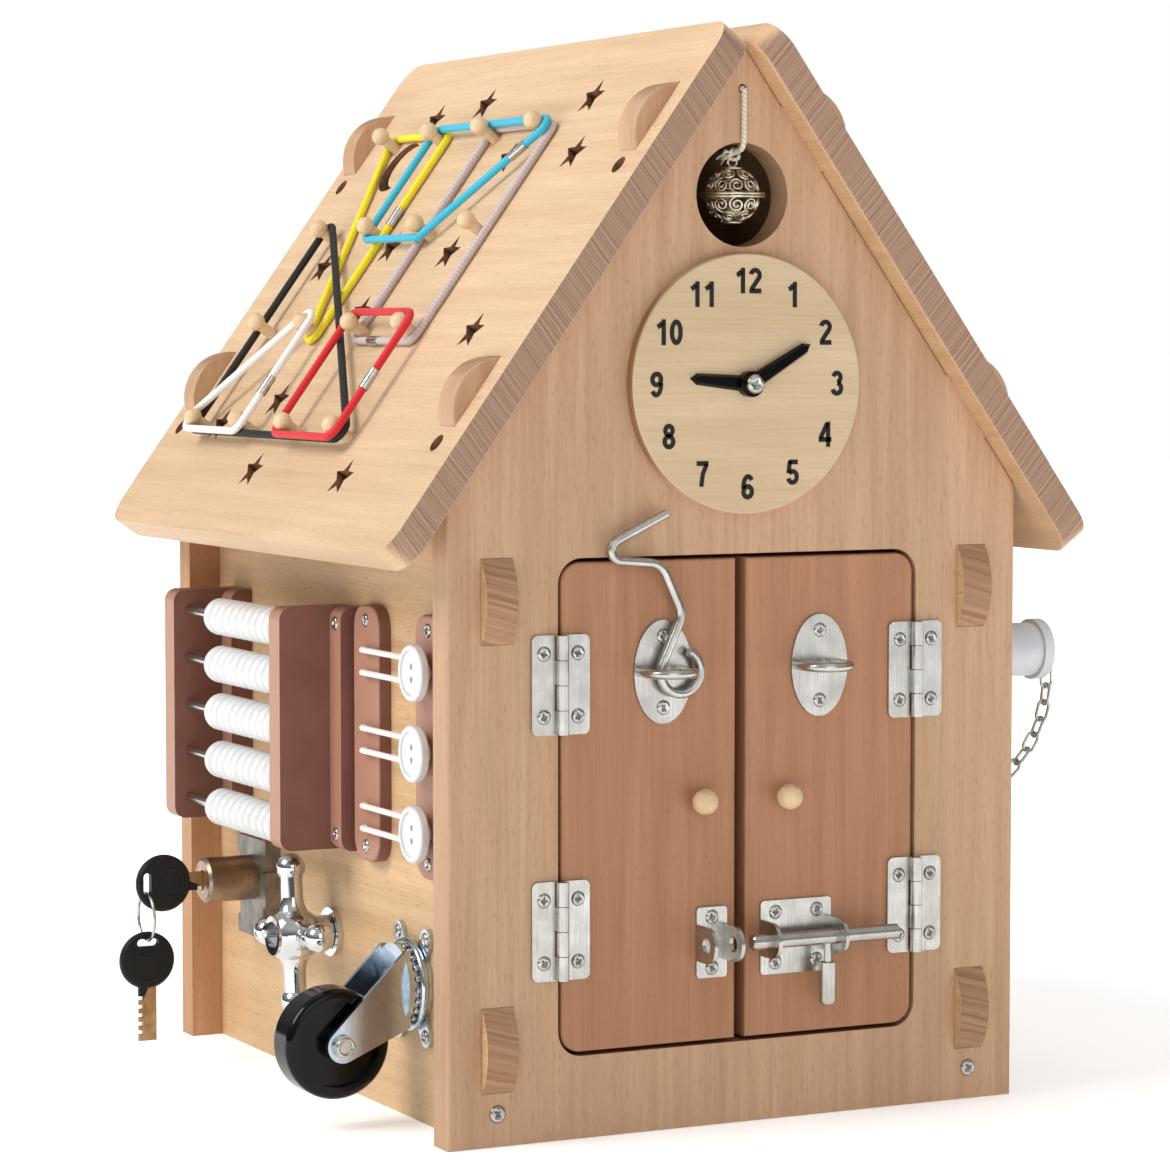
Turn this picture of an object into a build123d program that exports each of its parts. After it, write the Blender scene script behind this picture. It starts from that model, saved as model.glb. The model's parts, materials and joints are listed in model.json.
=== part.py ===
from build123d import *
import math
import os

# Wooden busy house, all lengths in millimetres.
# +Z is up, the doors face -Y and the origin is the middle of the floor panel's underside.

# Carcass
house_width = 250.0
house_depth = 282.0
eave_height = 247.0
roof_pitch = 54.0
board = 13.0
side_inset = 14.0
side_height = 262.0
edge_round = 1.2
fit = 0.15
overrun = 1.0
tenon_chord = 32.5
tenon_proud = 5.5
upper_tenon_height = 207.0
lower_tenon_height = 37.0
carcass_screw_height = 12.7

# Roof boards
roof_board = 12.5
roof_slope = 247.0
roof_front_overhang = 11.0
roof_back_overhang = 6.5
roof_corner = 12.0
tab_chord = 32.0
tab_proud = 8.0
upper_tab_run = 45.0
lower_tab_run = 173.7
upper_roof_screw_run = 68.0
lower_roof_screw_run = 197.4
roof_screw_bore = 7.5
roof_screw_sink = 5.0
star_tip_count = 5
star_tip = 8.8
star_waist = 3.9
moon_radius = 13.0
moon_bite_radius = 11.0
moon_bite_shift = 7.0
# Cut-outs, as shares of the slope and of the depth from the front edge.
star_place_shares = [
    (0.117, 0.619), (0.128, 0.274), (0.243, 0.217), (0.243, 0.421), (0.435, 0.407),
    (0.419, 0.618), (0.457, 0.819), (0.591, 0.171), (0.735, 0.656), (0.875, 0.586),
    (0.874, 0.275), (0.791, 0.810), (0.140, 0.767), (0.553, 0.577),
]
moon_place_shares = (0.240, 0.785)

# Pegs and bands of the geoboard
peg_rows = 4
peg_columns = 4
peg_row_pitch = 49.6
peg_column_pitch = 50.4
peg_field_shift = 23.0
peg_ball = 7.6
peg_stem = 4.8
peg_ball_height = 9.5
peg_seat = 8.0
band_wire = 3.2
band_level_pitch = 3.3
band_grip = 0.1
crimp_length = 9.0
crimp_wall = 0.35

# Door opening, doors and knobs
opening_width = 158.0
opening_height = 190.5
opening_sill = 32.0
opening_corner = 10.0
door_clearance = 1.5
door_gap = 4.4
door_corner = 8.0
knob_inset = 16.5
knob_height = 127.5
knob_ball = 10.0
knob_stem = 5.0
knob_reach = 11.0

# Butt hinges
hinge_height = 38.0
hinge_leaf_width = 12.2
hinge_leaf = 1.2
hinge_corner = 2.5
hinge_knuckles = 4
knuckle_radius = 2.4
knuckle_gap = 0.3
knuckle_standoff = 2.75
hinge_pin = 2.0
pin_clearance = 0.06
upper_hinge_height = 174.7
lower_hinge_height = 80.9
hinge_screw_rise = 12.0
hinge_screw_inset = 7.2

# Screws
screw_head = 4.8
screw_shank = 2.6
screw_slack = 0.03
carcass_screw_head = 6.7
carcass_screw_depth = 7.0

# Hook and eye latch
eye_spacing = 69.0
eye_height = 178.0
eye_plate_width = 25.0
eye_plate_height = 40.0
eye_plate = 1.2
eye_screw_rise = 13.75
eye_wire = 3.6
eye_leg = 4.5
eye_loop_radius = 9.65
hook_wire = 3.6
hook_plane_gap = 1.6
hook_curl_radius = 8.5
hook_curl_shift = 4.0
hook_drop = 10.0
hook_crest = 7.4
hook_tip_drop = 20.0
hook_tip_clearance = 0.5
hook_open_angle = 115.0

# Barrel bolt
bolt_height = 72.0
bolt_standoff = 9.0
bolt_rod = 6.0
bolt_rod_length = 66.0
bolt_travel = 21.0
bolt_clearance = 0.1
bolt_plate = 1.2
bolt_ear = 1.5
bolt_ear_radius = 7.0
keeper_width = 13.3
keeper_height = 27.6
keeper_inset = 4.3
bolt_plate_width = 31.5
bolt_plate_height = 29.0
bolt_plate_inset = 6.3
bolt_tip_set = 1.2
grip_neck = 3.0
grip_neck_length = 7.0
grip_diameter = 6.7
grip_length = 17.0
bolt_screw_rise = 8.4
bolt_screw_inset = 6.5

# Clock
clock_diameter = 100.0
clock_height = 288.0
clock_board = 5.0
clock_edge = 0.8
hand_hub = 10.0
hand_thickness = 1.6
hand_gap = 0.4
hand_root_width = 6.4
hand_tip_width = 4.4
hand_point = 3.0
hand_taper = 30.0
hour_hand_length = 25.6
minute_hand_length = 30.4
hour_hand_angle = 275.0
minute_hand_angle = 60.0
clock_pin = 3.4
clock_pin_head = 7.0
clock_pin_head_height = 2.0
clock_pin_clearance = 0.08

# Bell on its string
bell_hole = 40.0
bell_height = 360.5
bell_setback = 8.0
bell_radius = 11.0
bell_wall = 0.9
bell_rim_radius = 13.0
bell_rim = 1.6
bell_piercing = 4.6
bell_piercings = 6
bell_piercing_tilt = 40.0
bell_eye_radius = 1.9
bell_eye_wire = 1.1
string_hole = 3.6
string_height = 401.0
string_wire = 2.2
string_face_gap = 0.3
string_dip = 2.0
string_bend = 2.0

# Abacus
abacus_height = 149.0
abacus_tall = 98.0
abacus_reach = 31.5
abacus_board = 11.0
abacus_front = -18.2
abacus_clear = 108.3
abacus_corner = 5.0
batten_reach = 9.7
batten_width = 11.0
batten_screw_rise = 42.5
abacus_rows = 5
abacus_row_pitch = 20.0
abacus_rod = 4.0
abacus_rod_reach = 24.8
abacus_rod_seat = 6.0
abacus_rod_fit = 0.02
beads_per_row = 10
bead_diameter = 15.6
bead_thickness = 7.2
bead_gap = 0.1
bead_bore = 4.16
bead_round = 2.2

# Button and loop rails
rail_board = 5.5
rail_width = 25.0
rail_tall = 102.0
rail_corner = 9.0
rail_height = 149.0
loop_rail_place = -44.7
button_rail_place = -104.7
rail_screw_rise = 45.0
button_count = 3
button_pitch = 31.0
button_drop = 2.0
button_diameter = 22.0
button_thickness = 4.0
button_standoff = 4.0
button_stem = 6.0
button_eye = 2.6
button_eye_spacing = 5.0
button_rim = 2.2
button_dish = 0.9
loop_wire = 2.4
loop_spread = 9.0
loop_bend = 2.4
loop_slack = 0.15

# Drawer lock with its keys
lock_place = 75.0
lock_height = 76.5
lock_case_reach = 7.0
lock_case_width = 31.0
lock_case_tall = 42.0
lock_case_drop = 4.0
lock_notch = 6.0
lock_notch_depth = 2.5
lock_barrel = 19.0
lock_barrel_length = 22.4
lock_barrel_lip = 1.2
lock_plug = 12.0
lock_plug_clearance = 0.06
lock_plug_length = 18.0
lock_keyway_width = 2.4
lock_keyway_tall = 8.6
lock_keyway_depth = 17.0
lock_bolt_width = 14.0
lock_bolt_thickness = 4.0
lock_bolt_length = 15.0
lock_bolt_show = 1.0
lock_bolt_clearance = 0.1
key_bow = 24.0
key_bow_thickness = 3.2
key_bow_round = 0.9
key_bow_gap = 17.5
key_slot_long = 9.5
key_slot_wide = 3.4
key_slot_set = 7.5
key_blade_tall = 7.6
key_blade = 1.9
key_blade_length = 30.0
key_blade_socket = 8.0
key_notch = 1.6
key_notch_pitch = 3.6
key_notches = 5
key_ring_radius = 9.9
key_ring_wire = 1.3
key_ring_play = 0.15

# Cross handle
handle_place = 1.6
handle_drop = 86.0
handle_arm_plane = 18.0
handle_reach = 27.3
handle_ball = 12.0
handle_neck = 9.2
handle_root = 15.0
handle_flare = 7.5
handle_flare_share = 0.25
handle_hub = 23.0
handle_rim = 16.0
handle_face = 27.4
handle_recess = 11.5
handle_recess_depth = 5.0
handle_tilt = -5.0
handle_collar = 14.0
handle_gap = 0.3
handle_flange = 20.0
handle_flange_thickness = 2.5
handle_stem = 8.0
handle_stem_length = 16.0
handle_stem_clearance = 0.06

# Caster
caster_place = -80.4
caster_height = 54.0
caster_plate = 2.0
caster_plate_width = 34.3
caster_plate_tall = 46.4
caster_ear = 4.2
caster_race = 17.0
caster_race_reach = 5.5
caster_king_pin = 8.0
caster_king_head = 13.0
caster_king_head_height = 2.0
caster_clearance = 0.08
caster_fork = 2.0
caster_fork_gap = 0.4
caster_fork_cap = 16.5
caster_fork_span = 21.0
caster_fork_root = 30.0
caster_axle_reach = 36.0
caster_trail = 20.0
caster_axle = 5.0
caster_axle_head = 9.0
caster_axle_head_height = 2.0
caster_fork_end = 6.5
wheel_diameter = 43.0
wheel_width = 17.0
wheel_round = 3.2
wheel_dish = 2.5
wheel_dish_diameter = 33.0
wheel_hub = 13.0
wheel_side_gap = 0.3

# Basin plug on its chain
plug_place = -105.0
plug_height = 177.0
plug_tube = 22.0
plug_tube_wall = 2.6
plug_tube_reach = 45.0
plug_tube_flange = 32.0
plug_tube_flange_thickness = 2.5
plug_flange = 25.0
plug_flange_thickness = 4.5
plug_stem_length = 14.0
plug_clearance = 0.1
lug_radius = 2.2
lug_wire = 1.2
chain_links = 12
chain_wire = 1.4
chain_link_long = 10.0
chain_link_wide = 6.4
chain_pitch = 7.05
chain_start_angle = -80.0
chain_turn = -8.5
chain_play = 0.1
chain_eye_plate = 11.0
chain_eye_plate_thickness = 1.5

# Places that follow from the sizes above
half_width = house_width / 2
front_y = -house_depth / 2
back_y = house_depth / 2
apex_height = eave_height + half_width * math.tan(math.radians(roof_pitch))
slope_run = math.cos(math.radians(roof_pitch))
slope_fall = math.sin(math.radians(roof_pitch))
side_x = half_width - side_inset
side_length = house_depth - 2 * board
roof_depth = house_depth + roof_front_overhang + roof_back_overhang
roof_middle = (roof_back_overhang - roof_front_overhang) / 2
gable_middle = house_depth / 2 - board / 2
opening_middle = opening_sill + opening_height / 2
door_width = (opening_width - door_gap) / 2 - door_clearance
door_height = opening_height - 2 * door_clearance
door_middle = door_gap / 2 + door_width / 2
hinge_x = (opening_width - door_clearance) / 2
hinge_y = front_y - knuckle_standoff
hinge_heights = (upper_hinge_height, lower_hinge_height)
eye_x = eye_spacing / 2
hook_y = front_y - eye_plate - hook_plane_gap - hook_wire / 2
hook_pivot_x = -eye_x + eye_loop_radius - hook_curl_shift
bolt_y = front_y - bolt_standoff
keeper_x = -door_gap / 2 - keeper_inset - keeper_width / 2
bolt_plate_x = door_gap / 2 + bolt_plate_inset + bolt_plate_width / 2
clock_front = front_y - clock_board
bell_y = front_y + bell_setback
abacus_front_face = abacus_front + abacus_board
button_height = rail_height - button_drop
handle_height = abacus_height - handle_drop
abacus_back_face = abacus_front_face + abacus_clear

os.makedirs("parts", exist_ok=True)


# Round tube swept along an open route.
def tube(route, diameter):
    with BuildPart() as body:
        with BuildSketch(Plane(origin=route @ 0, z_dir=route % 0)):
            Circle(diameter / 2)
        sweep(path=route)
    return body.part


# Round tube swept along a closed flat route in two parts, the first of them with the given count of runs.
def ring_tube(route, diameter, normal, first_runs):
    runs = route.order_edges()
    with BuildPart() as body:
        for part_runs in (runs[:first_runs], runs[first_runs:]):
            path = Wire(part_runs)
            with BuildSketch(Plane(origin=path @ 0, x_dir=normal, z_dir=path % 0)):
                Circle(diameter / 2)
            sweep(path=path)
    return body.part


# A tongue with a half-moon end, standing out along +X from a root that is set into its board.
def tongue(chord, root, proud):
    with BuildSketch() as face:
        with BuildLine():
            Polyline((root, -chord / 2), (-root, -chord / 2), (-root, chord / 2), (root, chord / 2))
            ThreePointArc((root, chord / 2), (root + proud, 0), (root, -chord / 2))
        make_face()
    return face.sketch


# The gable's pentagon with its four roof tabs, drawn across X and up Z.
def gable_face():
    tab = tongue(tab_chord, roof_board, tab_proud)
    with BuildSketch() as face:
        with BuildLine():
            Polyline(
                (-half_width, 0), (half_width, 0), (half_width, eave_height),
                (0, apex_height), (-half_width, eave_height), close=True,
            )
        make_face()
        for side in (-1, 1):
            for run in (upper_tab_run, lower_tab_run):
                spot = (side * run * slope_run, apex_height - run * slope_fall, 0)
                turn = 90 - side * roof_pitch
                with Locations(Location(spot, (0, 0, turn))):
                    add(tab)
        for side in (-1, 1):
            for height in (upper_tenon_height, lower_tenon_height):
                with Locations((side * (side_x - board / 2), height)):
                    Rectangle(board + 2 * fit, tenon_chord + 2 * fit, mode=Mode.SUBTRACT)
    return face.sketch


# Plane on the underside of a roof board: local X runs down the slope, local Z stands off the roof.
def roof_plane(side):
    return Plane(
        origin=(0, 0, apex_height),
        x_dir=(side * slope_run, 0, -slope_fall),
        z_dir=(side * slope_fall, 0, slope_run),
    )


# Blank of a roof board with its tab slots, its corners and its edges rounded.
def roof_blank(side):
    with BuildPart() as blank:
        with BuildSketch(roof_plane(side)):
            with Locations((roof_slope / 2, side * roof_middle)):
                RectangleRounded(roof_slope, roof_depth, roof_corner)
            for run in (upper_tab_run, lower_tab_run):
                with Locations((run, gable_middle), (run, -gable_middle)):
                    Rectangle(tab_chord + 2 * fit, board + 2 * fit, mode=Mode.SUBTRACT)
        extrude(amount=roof_board)
        with BuildSketch(roof_plane(side).offset(roof_board)):
            for run in (upper_roof_screw_run, lower_roof_screw_run):
                with Locations((run, gable_middle), (run, -gable_middle)):
                    Circle(roof_screw_bore / 2)
        extrude(amount=-roof_screw_sink, mode=Mode.SUBTRACT)
        upper_face = blank.faces().sort_by(SortBy.AREA)[-1]
        fillet(upper_face.outer_wire().edges(), edge_round)
    return blank.part


# Places for screws on the front of the house and on its left wall, heads outward.
def front_seat(x, y, z):
    return Location((x, y, z), (90, 0, 0))


def left_seat(x, y, z):
    return Location((x, y, z), (0, -90, 0))


# A countersunk hole for such a screw through a plate of the given thickness.
def sink_hole(thickness, head=screw_head):
    CounterSinkHole(
        radius=screw_shank / 2 + screw_slack,
        counter_sink_radius=head / 2 + screw_slack,
        depth=thickness + overrun,
    )


gable = gable_face()
carcass_screw_places = [(side * (side_x - board / 2), carcass_screw_height) for side in (-1, 1)]

# Front gable board
with BuildPart() as front_wall:
    with BuildSketch(Plane.XZ.offset(-front_y)):
        add(gable)
        with Locations((0, opening_middle)):
            RectangleRounded(opening_width, opening_height, opening_corner, mode=Mode.SUBTRACT)
        with Locations((0, bell_height)):
            Circle(bell_hole / 2, mode=Mode.SUBTRACT)
        with Locations((0, string_height)):
            Circle(string_hole / 2, mode=Mode.SUBTRACT)
    extrude(amount=-board)
    with Locations(*[front_seat(x, front_y, z) for x, z in carcass_screw_places]):
        sink_hole(carcass_screw_depth - overrun, carcass_screw_head)
    outer_face = front_wall.faces().sort_by(Axis.Y)[0]
    fillet(outer_face.outer_wire().edges(), edge_round)
front_wall.part.label = "front_wall"
export_step(front_wall.part, "parts/front_wall.step")

# Back gable board
with BuildPart() as back_wall:
    with BuildSketch(Plane.XZ.offset(-back_y)):
        add(gable)
    extrude(amount=board)
    outer_face = back_wall.faces().sort_by(Axis.Y)[-1]
    fillet(outer_face.outer_wire().edges(), edge_round)
back_wall.part.label = "back_wall"
export_step(back_wall.part, "parts/back_wall.step")


# Outline of a side board with its tenons, drawn along Y and up Z.
def side_face():
    tenon = tongue(tenon_chord, board, tenon_proud)
    with BuildSketch() as face:
        with Locations((0, side_height / 2)):
            Rectangle(side_length, side_height)
        for height in (upper_tenon_height, lower_tenon_height):
            with Locations(Location((side_length / 2, height, 0))):
                add(tenon)
            with Locations(Location((-side_length / 2, height, 0), (0, 0, 180))):
                add(tenon)
    return face.sketch


side_outline = side_face()

# Left side board
with BuildPart() as left_wall:
    with BuildSketch(Plane.YZ.offset(-side_x)):
        add(side_outline)
    extrude(amount=board)
left_wall.part.label = "left_wall"
export_step(left_wall.part, "parts/left_wall.step")

# Right side board
with BuildPart() as right_wall:
    with BuildSketch(Plane.YZ.offset(side_x)):
        add(side_outline)
    extrude(amount=-board)
right_wall.part.label = "right_wall"
export_step(right_wall.part, "parts/right_wall.step")

# Floor panel between the four walls
with BuildPart() as floor_panel:
    with BuildSketch():
        Rectangle(2 * (side_x - board) - 2 * fit, side_length - 2 * fit)
    extrude(amount=board)
floor_panel.part.label = "floor_panel"
export_step(floor_panel.part, "parts/floor_panel.step")


# Place on the left roof board, from shares of its slope and of its depth.
def roof_spot(slope_share, depth_share):
    return (slope_share * roof_slope, roof_depth * (1 / 2 - depth_share) - roof_middle)


# Place of a peg, counted from the ridge and from the back of the house.
def peg_spot(row, column):
    return (
        roof_slope / 2 + (row - (peg_rows + 1) / 2) * peg_row_pitch,
        (column - (peg_columns + 1) / 2) * peg_column_pitch - peg_field_shift,
    )


# Five-pointed star with one tip towards the ridge.
def star_face():
    points = []
    for corner in range(2 * star_tip_count):
        radius = star_waist if corner % 2 else star_tip
        turn = math.pi + corner * math.pi / star_tip_count
        points.append((radius * math.cos(turn), radius * math.sin(turn)))
    with BuildSketch() as face:
        Polygon(*points, align=None)
    return face.sketch


# Crescent with its belly towards the back of the house.
def moon_face():
    with BuildSketch() as face:
        Circle(moon_radius)
        with Locations((0, moon_bite_shift)):
            Circle(moon_bite_radius, mode=Mode.SUBTRACT)
    return face.sketch


left_roof_top = roof_plane(-1).offset(roof_board)
star = star_face()
moon = moon_face()
peg_spots = [
    peg_spot(row, column)
    for row in range(1, peg_rows + 1)
    for column in range(1, peg_columns + 1)
]

# Left roof board with its star and moon cut-outs and its peg holes
with BuildPart() as left_roof:
    add(roof_blank(-1))
    with BuildSketch(left_roof_top):
        with Locations(*[roof_spot(*shares) for shares in star_place_shares]):
            add(star)
        with Locations(roof_spot(*moon_place_shares)):
            add(moon)
    extrude(amount=-roof_board, mode=Mode.SUBTRACT)
    with BuildSketch(left_roof_top):
        with Locations(*peg_spots):
            Circle(peg_stem / 2 + fit)
    extrude(amount=-peg_seat, mode=Mode.SUBTRACT)
left_roof.part.label = "left_roof"
export_step(left_roof.part, "parts/left_roof.step")

# Right roof board
with BuildPart() as right_roof:
    add(roof_blank(1))
right_roof.part.label = "right_roof"
export_step(right_roof.part, "parts/right_roof.step")


# One turned peg with a ball head, its seat below the origin.
def peg():
    with BuildPart() as body:
        Cylinder(peg_stem / 2, peg_seat + peg_ball_height, align=(Align.CENTER, Align.CENTER, Align.MIN))
    with BuildPart() as turned:
        with Locations((0, 0, -peg_seat)):
            add(body.part)
        with Locations((0, 0, peg_ball_height)):
            Sphere(peg_ball / 2)
    return turned.part


# Geoboard pegs, one group of turned pieces
turned_peg = peg()
with BuildPart() as geoboard_pegs:
    with Locations(*[left_roof_top.location * Location((u, v, 0)) for u, v in peg_spots]):
        add(turned_peg)
geoboard_pegs.part.label = "geoboard_pegs"
export_step(geoboard_pegs.part, "parts/geoboard_pegs.step")


# Closed route of a band round its pegs at one of the three levels under the ball heads.
def band_route(pegs, level):
    height = band_grip + crimp_wall + band_wire / 2 + (level - 1) * band_level_pitch
    ball_reach = peg_ball / 2 + band_wire / 2 + band_grip
    ball_room = max(ball_reach ** 2 - (peg_ball_height - height) ** 2, 0)
    radius = max(peg_stem / 2 + band_grip + band_wire / 2, math.sqrt(ball_room))
    with BuildSketch(left_roof_top.offset(height)) as loop:
        with Locations(*[peg_spot(*spot) for spot in pegs]):
            Circle(radius)
        make_hull()
    return loop.sketch.face().outer_wire()




# Metal sleeve on the straight run of a band beside two of its pegs.
def crimp(route, first, second, run_share):
    ends = [left_roof_top.from_local_coords((*peg_spot(*spot), 0)) for spot in (first, second)]
    middle = (ends[0] + ends[1]) / 2
    run = route.edges().filter_by(GeomType.LINE).sort_by_distance(middle)[0]
    near_end_first = (run @ 0 - ends[0]).length < (run @ 1 - ends[0]).length
    share = run_share if near_end_first else 1 - run_share
    with BuildPart() as sleeve:
        with BuildSketch(Plane(origin=run @ share, z_dir=run % share)):
            Circle(band_wire / 2 + crimp_wall)
            Circle(band_wire / 2 + screw_slack, mode=Mode.SUBTRACT)
        extrude(amount=crimp_length / 2, both=True)
    return sleeve.part


# Elastic bands: the pegs that each goes round, its level, and its crimp's run
bands = {
    "band_yellow": ([(1, 1), (1, 2), (3, 2)], 1, ((1, 2), (3, 2), 0.40)),
    "band_grey": ([(1, 3), (1, 4), (3, 4), (3, 3)], 1, ((3, 3), (3, 4), 0.35)),
    "band_cyan": ([(1, 2), (1, 4), (2, 3), (2, 2)], 2, ((1, 4), (2, 3), 0.18)),
    "band_black": ([(2, 1), (4, 1), (4, 4)], 2, None),
    "band_red": ([(3, 3), (3, 4), (4, 4), (4, 3)], 3, ((3, 4), (4, 4), 0.55)),
    "band_white": ([(3, 2), (4, 2), (4, 1)], 3, ((4, 2), (3, 2), 0.36)),
}
crimps = []
for name, (pegs, level, sleeve_run) in bands.items():
    route = band_route(pegs, level)
    with BuildPart() as elastic_band:
        add(ring_tube(route, band_wire, left_roof_top.z_dir, 5))
    elastic_band.part.label = name
    export_step(elastic_band.part, f"parts/{name}.step")
    if sleeve_run:
        crimps.append(crimp(route, *sleeve_run))

# Crimps of the bands
with BuildPart() as band_crimps:
    add(crimps)
band_crimps.part.label = "band_crimps"
export_step(band_crimps.part, "parts/band_crimps.step")


# A door panel flush with the front, its outer corners rounded like the opening's.
def door_panel(side):
    with BuildPart() as panel:
        with BuildSketch(Plane.XZ.offset(-front_y)) as face:
            with Locations((side * door_middle, opening_middle)):
                Rectangle(door_width, door_height)
            across = face.vertices().sort_by(Axis.X)
            fillet(across[:2] if side < 0 else across[2:], door_corner)
        extrude(amount=-board)
        front_face = panel.faces().sort_by(Axis.Y)[0]
        fillet(front_face.outer_wire().edges(), edge_round)
    return panel.part


# Left door panel
with BuildPart() as left_door:
    add(door_panel(-1))
left_door.part.label = "left_door"
export_step(left_door.part, "parts/left_door.step")

# Right door panel
with BuildPart() as right_door:
    add(door_panel(1))
right_door.part.label = "right_door"
export_step(right_door.part, "parts/right_door.step")


# Turned knob standing out from a door.
def knob(side):
    spot = Plane(
        origin=(side * (door_gap / 2 + knob_inset), front_y, knob_height),
        x_dir=(1, 0, 0), z_dir=(0, -1, 0),
    )
    with BuildPart() as turned:
        with BuildSketch(spot):
            Circle(knob_stem / 2)
        extrude(amount=knob_reach - knob_ball / 2)
        with Locations(spot.offset(knob_reach - knob_ball / 2).location):
            Sphere(knob_ball / 2)
    return turned.part


# Left door knob
with BuildPart() as left_knob:
    add(knob(-1))
left_knob.part.label = "left_knob"
export_step(left_knob.part, "parts/left_knob.step")

# Right door knob
with BuildPart() as right_knob:
    add(knob(1))
right_knob.part.label = "right_knob"
export_step(right_knob.part, "parts/right_knob.step")

knuckle_pitch = hinge_height / hinge_knuckles
knuckle_room = 2 * (knuckle_radius + knuckle_gap)


# Height of a hinge knuckle above the middle of its hinge.
def knuckle_height(number):
    return (number - (hinge_knuckles - 1) / 2) * knuckle_pitch


# A hinge leaf about the Z axis, reaching to one side, with every second knuckle from the first.
def hinge_leaf_body(side, first):
    own = [knuckle_height(n) for n in range(first, hinge_knuckles, 2)]
    others = [knuckle_height(n) for n in range(1 - first, hinge_knuckles, 2)]
    screw_spots = [
        front_seat(side * hinge_screw_inset, knuckle_standoff - hinge_leaf, rise * hinge_screw_rise)
        for rise in (-1, 1)
    ]
    with BuildPart() as leaf:
        with BuildSketch(Plane.XZ.offset(-knuckle_standoff)) as face:
            with Locations((side * hinge_leaf_width / 2, 0)):
                Rectangle(hinge_leaf_width, hinge_height)
            across = face.vertices().sort_by(Axis.X)
            fillet(across[:2] if side < 0 else across[2:], hinge_corner)
            with Locations(*[(0, height) for height in others]):
                Rectangle(knuckle_room, knuckle_pitch + knuckle_gap, mode=Mode.SUBTRACT)
        extrude(amount=hinge_leaf)
        with Locations(*[(0, 0, height) for height in own]):
            Cylinder(knuckle_radius, knuckle_pitch - knuckle_gap)
        Cylinder(hinge_pin / 2 + pin_clearance, hinge_height + overrun, mode=Mode.SUBTRACT)
        with Locations(*screw_spots):
            sink_hole(hinge_leaf)
    return leaf.part


# Places of the hinges on one side of the doors.
def hinge_spots(side):
    return [Location((side * hinge_x, hinge_y, height)) for height in hinge_heights]


# Hinge leaves screwed to the front wall
with BuildPart() as wall_hinge_leaves:
    for side in (-1, 1):
        with Locations(*hinge_spots(side)):
            add(hinge_leaf_body(side, 0))
wall_hinge_leaves.part.label = "wall_hinge_leaves"
export_step(wall_hinge_leaves.part, "parts/wall_hinge_leaves.step")

# Hinge leaves screwed to the left door
with BuildPart() as left_hinge_leaves:
    with Locations(*hinge_spots(-1)):
        add(hinge_leaf_body(1, 1))
left_hinge_leaves.part.label = "left_hinge_leaves"
export_step(left_hinge_leaves.part, "parts/left_hinge_leaves.step")

# Hinge leaves screwed to the right door
with BuildPart() as right_hinge_leaves:
    with Locations(*hinge_spots(1)):
        add(hinge_leaf_body(-1, 1))
right_hinge_leaves.part.label = "right_hinge_leaves"
export_step(right_hinge_leaves.part, "parts/right_hinge_leaves.step")

# Hinge pins
with BuildPart() as hinge_pins:
    for side in (-1, 1):
        with Locations(*hinge_spots(side)):
            Cylinder(hinge_pin / 2, hinge_height - knuckle_gap)
hinge_pins.part.label = "hinge_pins"
export_step(hinge_pins.part, "parts/hinge_pins.step")


# Oval plate with a bent wire loop standing out level from its middle.
def eye(side):
    center = side * eye_x
    root = front_y - eye_plate / 2
    bend = front_y - eye_plate - eye_leg
    with BuildPart() as body:
        with BuildSketch(Plane.XZ.offset(-front_y)):
            with Locations((center, eye_height)):
                Ellipse(eye_plate_width / 2, eye_plate_height / 2)
        extrude(amount=eye_plate)
        with BuildLine(Plane.XY.offset(eye_height)) as route:
            Line((center - eye_loop_radius, root), (center - eye_loop_radius, bend))
            ThreePointArc(
                (center - eye_loop_radius, bend),
                (center, bend - eye_loop_radius),
                (center + eye_loop_radius, bend),
            )
            Line((center + eye_loop_radius, bend), (center + eye_loop_radius, root))
        with BuildSketch(Plane(origin=route.line @ 0, z_dir=route.line % 0)):
            Circle(eye_wire / 2)
        sweep(path=route.line)
        with Locations(*[
            front_seat(center, front_y - eye_plate, eye_height + rise * eye_screw_rise) for rise in (-1, 1)
        ]):
            sink_hole(eye_plate)
    return body.part


# Eye of the hook latch on the left door
with BuildPart() as left_eye:
    add(eye(-1))
left_eye.part.label = "left_eye"
export_step(left_eye.part, "parts/left_eye.step")

# Eye of the hook latch on the right door
with BuildPart() as right_eye:
    add(eye(1))
right_eye.part.label = "right_eye"
export_step(right_eye.part, "parts/right_eye.step")

# Bent wire hook, stored thrown back from its latched place about the curl's middle
hook_curl_start = -50.0
hook_curl_sweep = 270.0
hook_rise = 60.0
hook_bend_radius = eye_wire / 2 + hook_tip_clearance + hook_wire / 2
hook_catch_x = eye_spacing - 2 * eye_loop_radius + hook_curl_shift
hook_catch_z = hook_crest - hook_bend_radius
hook_turn = math.radians(hook_open_angle)
hook_plane = Plane(
    origin=(hook_pivot_x, hook_y, eye_height),
    x_dir=(math.cos(hook_turn), 0, math.sin(hook_turn)),
    z_dir=(0, -1, 0),
)
curl_end = math.radians(hook_curl_start - hook_curl_sweep)
arm_start = (hook_curl_radius * math.cos(curl_end), hook_curl_radius * math.sin(curl_end))
arm_dive = (arm_start[1] + hook_drop) / math.cos(curl_end)
arm_low = (arm_start[0] + arm_dive * math.sin(curl_end), -hook_drop)
bend_start = (
    hook_catch_x - hook_bend_radius * math.sin(math.radians(hook_rise)),
    hook_catch_z + hook_bend_radius * math.cos(math.radians(hook_rise)),
)
arm_rise = (bend_start[0] - (bend_start[1] + hook_drop) / math.tan(math.radians(hook_rise)), -hook_drop)
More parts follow.
